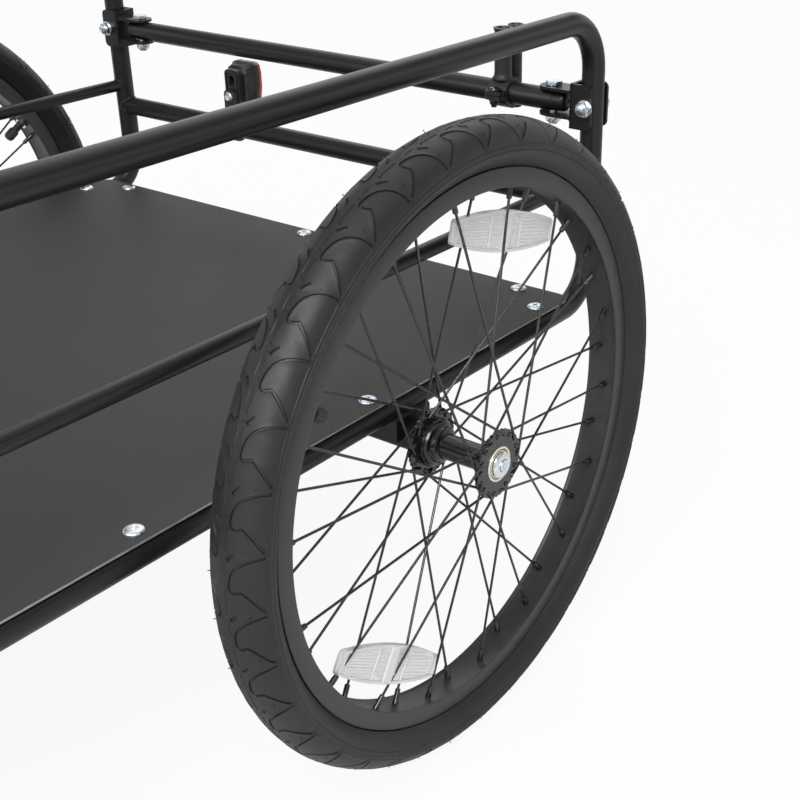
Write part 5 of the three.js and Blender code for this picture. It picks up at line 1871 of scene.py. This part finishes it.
@dataclass(frozen=True)
class Receiver:
    """The plates under the front crossmember that hold the drawbar."""

    pivot: tuple[float, float, float] = (585.0, 190.0, 219.0)
    lobe: float = 50.0
    half: float = 22.0
    plate: Pair = (13.3, 17.3)
    rear: float = 483.5
    cradle: Pair = (254.0, 263.0)
    wall: float = 4.0
    slot_radius: float = 37.0
    slot_half: float = 4.8
    straight: float = math.radians(-10)
    folded: float = math.radians(-90)

    def slot(self) -> list[Pair]:
        """The curved slot's outline, about the pivot."""
        r, w = self.slot_radius, self.slot_half
        steps = [i / 20 for i in range(21)]
        sweep = [self.folded + (self.straight - self.folded) * s for s in steps]
        outer = [((r + w) * math.cos(a), (r + w) * math.sin(a)) for a in sweep]
        inner = [((r - w) * math.cos(a), (r - w) * math.sin(a)) for a in reversed(sweep)]
        ends = []
        for angle, turn in ((self.straight, 0.0), (self.folded, math.pi)):
            mid = (r * math.cos(angle), r * math.sin(angle))
            ends.append([(mid[0] + w * math.cos(angle + turn + math.pi * s), mid[1] + w * math.sin(angle + turn + math.pi * s))
                         for s in steps[2:-2:2]])
        return outer + ends[0] + inner + ends[1]

    def build(self) -> None:
        """Build the receiver and its pivot bolt."""
        made = Shape()
        start = math.atan2(self.half, -math.sqrt(self.lobe**2 - self.half**2))
        lobe = [(self.lobe * math.cos(a), self.lobe * math.sin(a))
                for a in (-start + 2 * start * i / 64 for i in range(65))]
        back = self.rear - self.pivot[0]
        outline = [(back, -self.half), *lobe, (back, self.half)]
        for low, high in ((-self.plate[1], -self.plate[0]), self.plate):
            made.prism([outline, circle(5.6, 28), self.slot()], (low, high), centre=self.pivot)
        y = (self.pivot[1] - self.half, self.pivot[1] + self.half)
        base, top = self.pivot[2] - self.plate[1], AT.bottom - AT.tube
        made.prism([rectangle((base, top - 1), (self.rear, self.rear + self.wall))], y, Axis.Y)
        riser = (AT.member_front + 12.0, AT.member_front + 16.0)
        made.prism([rectangle((self.pivot[2] + self.plate[0] + 0.5, top - 1), riser)], y, Axis.Y)
        seat = AT.tube + 0.3
        edge = math.acos((AT.bottom - self.cradle[1]) / seat)
        arc = [(AT.bottom - seat * math.cos(a), AT.member_front + seat * math.sin(a))
               for a in (edge - 2 * edge * i / 14 for i in range(15))]
        low, high = self.cradle
        section = [(low, riser[1]), (high, riser[1]), *arc, (high, self.rear), (low, self.rear)]
        made.prism([section], y, Axis.Y)
        for x in (self.rear + 6.2, riser[1] - 6.2):
            made.rippled([Vector((x, y[0] + 0.5 + 0.5 * i, self.cradle[1] - 0.1)) for i in range(87)], 1.2)
        for x, z in ((self.rear + self.wall, self.pivot[2] - self.plate[0]), (riser[0], self.pivot[2] + self.plate[1])):
            made.rippled([Vector((x, y[0] + 0.5 + 0.5 * i, z)) for i in range(87)], 1.2)
        Piece("drawbar_receiver_plates", made, [SATIN_BLACK], replaces=["drawbar_receiver"], bevel=0.5).build()
        bolt = Bolt(5.0, self.plate[1], 8.5, 6.0, 8.5, 7.0, 2.5).shape(Axis.Z, self.pivot)
        Piece("drawbar_pivot_bolt_set", bolt, [BRIGHT_ZINC], replaces=["drawbar_pivot_bolt"]).build()


@dataclass(frozen=True)
class Drawbar:
    """The cranked arm with its clamp and the jointed hitch at its front."""

    pivot: tuple[float, float, float] = (585.0, 190.0, 219.0)
    toe: float = math.radians(10)
    tube: float = 12.7
    length: float = 540.0
    rise: float = 108.0
    flat: float = 151.2
    climb: float = 388.8
    bend: float = 90.0
    sleeve: float = 15.0
    clamp: float = 37.0
    seat: float = 17.6
    knob_height: float = 17.0
    pitch: float = 562.0
    yaw: float = 596.0
    pin: float = 642.0
    tongue: float = 4.5
    cheek: Pair = (4.8, 9.8)
    block: float = 12.0
    fork: Pair = (12.3, 18.3)
    fork_half: float = 13.0
    bail: float = 30.0
    wire: float = 1.2

    def add(self, name: str, shape: Shape, finishes: Sequence[Finish], body: str, node: str, **options: float) -> None:
        """Build one piece, placed from the arm's own line.

        Args:
            name: The piece's name.
            shape: Its shape, along x from the pivot.
            finishes: Its finishes.
            body: Its body.
            node: The CAD node that it stands for.
            options: The piece's bevel and crease.
        """
        place = Matrix.Translation(self.pivot) @ Matrix.Rotation(-self.toe, 4, "Z")
        Piece(name, shape.moved(place), finishes, body, [node], **options).build()

    def build(self) -> None:
        """Build every piece of the drawbar."""
        self.add("drawbar_arm_tube", self.arm(), [SATIN_BLACK], "drawbar", "drawbar_arm")
        self.add("drawbar_clamp_bolt_set", self.clamp_bolt(), [BRIGHT_ZINC], "drawbar", "drawbar_clamp_bolt")
        self.add("drawbar_clamp_handle", self.knob(), [BLACK_PLASTIC, BRIGHT_ZINC], "clamp_knob", "drawbar_clamp_knob")
        self.add("drawbar_head_forging", self.head(), [BRIGHT_ZINC], "drawbar", "drawbar_head", bevel=0.5)
        self.add("coupling_knuckle_block", self.knuckle(), [SATIN_BLACK], "knuckle", "coupling_knuckle", bevel=0.6)
        pitch = self.headed_pin(self.cheek[1]).moved(Matrix.Translation((self.pitch, 0, self.rise)) @ Axis.Y.value)
        self.add("coupling_pitch_rivet", pitch, [BRIGHT_ZINC], "knuckle", "coupling_pitch_pin")
        self.add("coupling_fork_plates", self.fork_shape(), [SATIN_BLACK], "fork", "coupling_fork", bevel=0.6)
        yaw = self.headed_pin(self.fork[1]).moved(Matrix.Translation((self.yaw, 0, self.rise)))
        self.add("coupling_yaw_rivet", yaw, [BRIGHT_ZINC], "fork", "coupling_yaw_pin")
        self.add("hitch_pin_turned", self.hitch_pin(), [BRIGHT_ZINC], "hitch_pin", "hitch_pin")
        self.add("hitch_pin_bail_wire", self.bail_shape(), [BRIGHT_ZINC], "hitch_bail", "hitch_pin_bail")

    def arm(self) -> Shape:
        """The cranked tube with its pivot sleeve."""
        corners = [Vector((6, 0, 0)), Vector((self.flat, 0, 0)), Vector((self.climb, 0, self.rise)),
                   Vector((self.length, 0, self.rise))]
        made = Shape().swept(bent(corners, [0, self.bend, self.bend, 0], steps=18), self.tube, 40)
        r = self.sleeve
        made.turned([(5.6, -13), (r - 0.8, -13), (r, -12.2), (r, 12.2), (r - 0.8, 13), (5.6, 13)], Axis.Z, (0, 0, 0), 48,
                    closed=True)
        ring = []
        for i in range(90):
            a = math.tau * i / 90
            y = self.tube * 0.98 * math.cos(a)
            ring.append(Vector((math.sqrt(r * r - y * y), y, self.tube * 0.98 * math.sin(a))))
        made.rippled(ring, 1.4, True)
        band = [(self.tube - 0.4, self.length - 40), (self.tube + 0.35, self.length - 39.6),
                (self.tube + 0.35, self.length - 1), (self.tube - 0.2, self.length - 0.2), (self.tube - 3, self.length - 0.1)]
        return made.turned(band, Axis.X, (0, 0, self.rise), 44)

    def clamp_bolt(self) -> Shape:
        """The clamp's bolt, with a domed head under the receiver."""
        s, top = self.seat, self.seat + self.knob_height
        profile = [(0, -s - 4.6), (2.2, -s - 4.5), (4.4, -s - 3.9), (6.2, -s - 2.6), (6.9, -s - 1.0), (7.0, -s), (4.0, -s),
                   (4.0, top - 6)]
        for i in range(6):
            profile += [(4.0, top - 5.6 + i * 0.9), (3.5, top - 5.15 + i * 0.9)]
        return Shape().turned([*profile, (3.2, top), (0, top)], Axis.Z, (self.clamp, 0, 0), 32)

    def knob(self) -> Shape:
        """The fluted hand knob, with a metal bush."""
        s = self.seat
        grip = [(4.6, s + 0.4), (8.6, s + 0.4), (9.0, s + 0.9), (9.0, s + 4.6), (11.2, s + 5.2), (13.6, s + 5.6),
                (14.0, s + 6.8), (14.0, s + 11.0), (13.2, s + 13.0), (11.0, s + 14.6), (8.4, s + 15.6), (5.6, s + 16.2),
                (4.6, s + 16.0)]
        made = Shape().turned(grip, Axis.Z, (0, 0, 0), 84, closed=True)
        for point in made.points:
            reach = math.hypot(point.x, point.y)
            if reach > 9.5:
                dip = max(0.0, math.cos(7 * math.atan2(point.y, point.x))) ** 2
                scale = 1 - 0.16 * dip * (reach - 9.5) / 4.5
                point.x, point.y = point.x * scale, point.y * scale
        made.turned([(4.2, s), (7.2, s), (7.2, s + 0.8), (4.2, s + 0.8)], Axis.Z, (0, 0, 0), 40, 1, True)
        return made.moved(Matrix.Translation((self.clamp, 0, 0)))

    def head(self) -> Shape:
        """The plug, collar and eyed tongue at the arm's end."""
        made = Shape()
        r, start = self.tube, self.length + 0.3
        made.turned([(0, start - 20), (10.2, start - 20), (10.2, start), (r - 0.8, start), (r, start + 0.8), (r, start + 3.6),
                     (r - 1.0, start + 4.8), (0, start + 5.4)], Axis.X, (0, 0, self.rise), 44)
        eye = [(self.rise + v, start + 1 + u) for u, v in self.eye(self.pitch - start - 1, self.block)]
        hole = circle(4.4, 24, (self.rise, self.pitch))
        return made.prism([eye, hole], (-self.tongue, self.tongue), Axis.Y)

    @staticmethod
    def eye(length: float, radius: float) -> list[Pair]:
        """A bar's outline from a square start to a round eye.

        Args:
            length: From the start to the eye's centre.
            radius: Half the bar's width.

        Returns:
            The outline.
        """
        arc = [(length + radius * math.cos(a), radius * math.sin(a))
               for a in (math.pi * (i / 20 - 0.5) for i in range(21))]
        return [(0, -radius), *arc, (0, radius)]

    def knuckle(self) -> Shape:
        """The block between the two hinges, with two cheeks round the tongue."""
        made = Shape()
        front = self.yaw - 2
        plate = [(self.rise - v, front - u) for u, v in self.eye(front - self.pitch, self.block)]
        hole = circle(4.4, 24, (self.rise, self.pitch))
        for low, high in ((-self.cheek[1], -self.cheek[0]), self.cheek):
            made.prism([plate, hole], (low, high), Axis.Y)
            made.turned([(4.4, low), (7.6, low), (7.6, high), (4.4, high)], Axis.Y, (self.pitch, 0, self.rise), 32,
                        closed=True)
        bridge = rectangle((self.pitch + self.block + 5, front), (-self.cheek[1], self.cheek[1]))
        made.prism([bridge], (self.rise - self.block, self.rise + self.block))
        post = self.cheek[1]
        return made.turned([(4.4, self.rise - self.block), (post, self.rise - self.block), (post, self.rise + self.block),
                            (4.4, self.rise + self.block)], Axis.Z, (self.yaw, 0, 0), 40, closed=True)

    @staticmethod
    def headed_pin(grip: float) -> Shape:
        """A riveted pin with a domed head at each end.

        Args:
            grip: Half the length between the heads.

        Returns:
            The shape, along z.
        """
        s = grip + 0.3
        dome = [(4.0, s), (6.0, s), (6.0, s + 0.7), (5.4, s + 1.4), (4.0, s + 1.9), (2.0, s + 2.05), (0, s + 2.1)]
        profile = [(r, -z) for r, z in reversed(dome)] + dome
        return Shape().turned(profile, Axis.Z, (0, 0, 0), 32)

    def fork_shape(self) -> Shape:
        """The fork's two plates and the block between them."""
        made = Shape()
        run = self.pin - self.yaw
        outline = [(self.yaw + u, v) for u, v in stadium(run, self.fork_half, 24)]
        holes = [circle(4.4, 24, (self.yaw, 0)), circle(5.1, 28, (self.pin, 0))]
        for low, high in ((-self.fork[1], -self.fork[0]), self.fork):
            made.prism([outline, *holes], (self.rise + low, self.rise + high))
        bridge = rounded((self.yaw + 10.4, self.pin - 22.0), (-self.fork_half, self.fork_half), 1.5, 3)
        made.prism([bridge], (self.rise - self.fork[0] - 0.5, self.rise + self.fork[0] + 0.5))
        for sign in (1, -1):
            for u in (self.yaw + 10.6, self.pin - 22.2):
                line = [Vector((u, -self.fork_half + 0.7 + 0.5 * i, self.rise + sign * (self.fork[0] - 0.3)))
                        for i in range(50)]
                made.rippled(line, 1.0)
        return made

    def hitch_pin(self) -> Shape:
        """The hitch pin with a knurled knob and a groove near its end."""
        s, z = self.fork[1] + 0.3, self.rise
        body = [(0, z - s - 6), (3.6, z - s - 6), (4.7, z - s - 4.6), (4.7, z - s - 3.4), (3.9, z - s - 3.0),
                (3.9, z - s - 1.6), (4.7, z - s - 1.2), (4.7, z + s), (7.4, z + s), (8.0, z + s + 0.5), (8.0, z + s + 4.6),
                (7.3, z + s + 5.6), (6.1, z + s + 7.4), (5.0, z + s + 8.8), (4.2, z + s + 9.0), (0, z + s + 9.0)]
        made = Shape().turned(body, Axis.Z, (self.pin, 0, 0), 40)
        for i in range(30):
            a = math.tau * i / 30
            ridge = Matrix.Translation((self.pin, 0, 0)) @ Matrix.Rotation(a, 4, "Z")
            if abs(math.sin(a)) > 0.93:
                continue
            made.prism([[(7.8, -0.45), (8.35, 0.0), (7.8, 0.45)]], (z + s + 0.7, z + s + 4.4), place=ridge)
        return made

    def bail_shape(self) -> Shape:
        """The wire bail through the knob."""
        z = self.rise + self.block + 0.3 + 6 + 0.3 + 3.0
        half = 8.0 + 0.3 + self.wire
        x = self.pin
        corners = [Vector((x, -half, z)), Vector((x + self.bail, -half, z)), Vector((x + self.bail, half, z)),
                   Vector((x, half, z))]
        return Shape().swept(bent(corners, [2.0, 6.0, 6.0, 2.0], True, 8), self.wire, 14, True)


# The studio


@dataclass(frozen=True)
class Studio:
    """The floor, the lights and the camera."""

    camera: tuple[float, float, float] = (0.20755, 0.8610, 0.7064)
    yaw: float = 215.52
    pitch: float = 27.99
    lens: float = 59.79
    shift: Pair = (-0.1057, 0.0527)
    floor: float = 40.0
    ambient: float = 0.5
    whiteness: float = 0.92
    softbox: tuple[Pair, ...] = ((0.0, 0.5), (0.1, 1.0), (0.34, 1.0), (0.46, 0.22), (0.66, 0.16), (0.78, 1.0))

    def build(self) -> None:
        """Build the whole studio."""
        self._floor()
        self._world()
        self._lamp("key_softbox", (1.9, 1.5, 2.8), 2.0, 150.0)
        self._lamp("fill_softbox", (3.0, -0.8, 2.0), 2.2, 40.0)
        self._lamp("rear_softbox", (-2.6, -1.2, 2.4), 2.4, 20.0)
        self._camera()

    def _floor(self) -> None:
        """Lay the floor, white to the camera and shaded only by the object."""
        mesh = bpy.data.meshes.new("floor_sheet")
        half = self.floor / 2
        corners = [(-half, -half, 0), (half, -half, 0), (half, half, 0), (-half, half, 0)]
        mesh.from_pydata([(x, y, z - 0.0005) for x, y, z in corners], [], [(0, 1, 2, 3)])
        sheet = bpy.data.objects.new("floor_sheet", mesh)
        bpy.context.scene.collection.objects.link(sheet)
        made = bpy.data.materials.new("pale_floor")
        made.use_nodes = True
        graph = Graph(made.node_tree)
        grain = graph.noise(3.0, 2.0)
        paper = graph.node("ShaderNodeBsdfDiffuse", {}, {0: graph.mix(grain, (0.72, 0.72, 0.72), (0.75, 0.75, 0.75))})
        white = graph.node("ShaderNodeEmission", {}, {0: (1, 1, 1, 1), 1: 1.0})
        seen = graph.node("ShaderNodeLightPath", output="Is Camera Ray").either(
            graph.node("ShaderNodeLightPath", output="Is Transmission Ray"))
        mixed = graph.node("ShaderNodeMixShader", {}, {0: seen * self.whiteness, 1: paper, 2: white})
        graph.node("ShaderNodeOutputMaterial", {}, {"Surface": mixed})
        mesh.materials.append(made)

    def _world(self) -> None:
        """Light the world plainly, and show white to the camera and through glass, and softbox bands in gloss."""
        world = bpy.data.worlds.new("studio_air")
        world.use_nodes = True
        bpy.context.scene.world = world
        graph = Graph(world.node_tree)
        camera, glossy, through = (graph.node("ShaderNodeLightPath", output=name) for name in
                                   ("Is Camera Ray", "Is Glossy Ray", "Is Transmission Ray"))
        aim = graph.node("ShaderNodeTexCoord", output="Generated")
        height = graph.node("ShaderNodeSeparateXYZ", {}, {0: aim}, "Z")
        stops = [(place, (level,) * 3) for place, level in self.softbox]
        box = graph.node("ShaderNodeValToRGB", {"stops": stops}, {0: height})
        light = graph.node("ShaderNodeBackground", {}, {"Color": (1, 1, 1, 1), "Strength": self.ambient})
        colour = graph.mix(glossy, (1, 1, 1), box)
        white = graph.node("ShaderNodeBackground", {}, {"Color": colour, "Strength": 1.0})
        seen = camera.either(glossy).either(through)
        mixed = graph.node("ShaderNodeMixShader", {}, {0: seen, 1: light, 2: white})
        graph.node("ShaderNodeOutputWorld", {}, {"Surface": mixed})

    @staticmethod
    def _lamp(name: str, place: tuple[float, float, float], size: float, power: float) -> None:
        """Hang a soft square lamp that faces the trailer.

        Args:
            name: The lamp's name.
            place: Where it hangs.
            size: Its side.
            power: Its power in watts.
        """
        lamp = bpy.data.lights.new(name, "AREA")
        lamp.shape = "SQUARE"
        lamp.size = size
        lamp.energy = power
        made = bpy.data.objects.new(name, lamp)
        made.location = place
        made.rotation_euler = (Vector((-0.4, 0.1, 0.25)) - Vector(place)).to_track_quat("-Z", "Y").to_euler()
        bpy.context.scene.collection.objects.link(made)

    def _camera(self) -> None:
        """Set the camera at the photograph's angle."""
        camera = bpy.data.cameras.new("viewpoint")
        camera.sensor_width = 36.0
        camera.lens = self.lens
        camera.shift_x, camera.shift_y = self.shift
        made = bpy.data.objects.new("viewpoint", camera)
        made.location = self.camera
        made.rotation_euler = (math.radians(90 - self.pitch), 0.0, math.radians(self.yaw - 90))
        bpy.context.scene.collection.objects.link(made)
        bpy.context.scene.camera = made


def main() -> None:
    """Build the whole trailer and its studio."""
    logging.basicConfig(level=logging.INFO, format="%(name)s: %(message)s")
    bpy.context.scene.view_settings.view_transform = "Standard"
    Studio().build()
    for hand in Hand:
        Wheel(hand).build()
        SideFrame(hand).build()
        for end in ("rear", "front"):
            Bracket(end, hand).build()
    Crossbars().build()
    AxleTube().build()
    Deck().build()
    RearReflector().build()
    PoleSocket().build()
    Receiver().build()
    Drawbar().build()


if __name__ == "__main__":
    main()
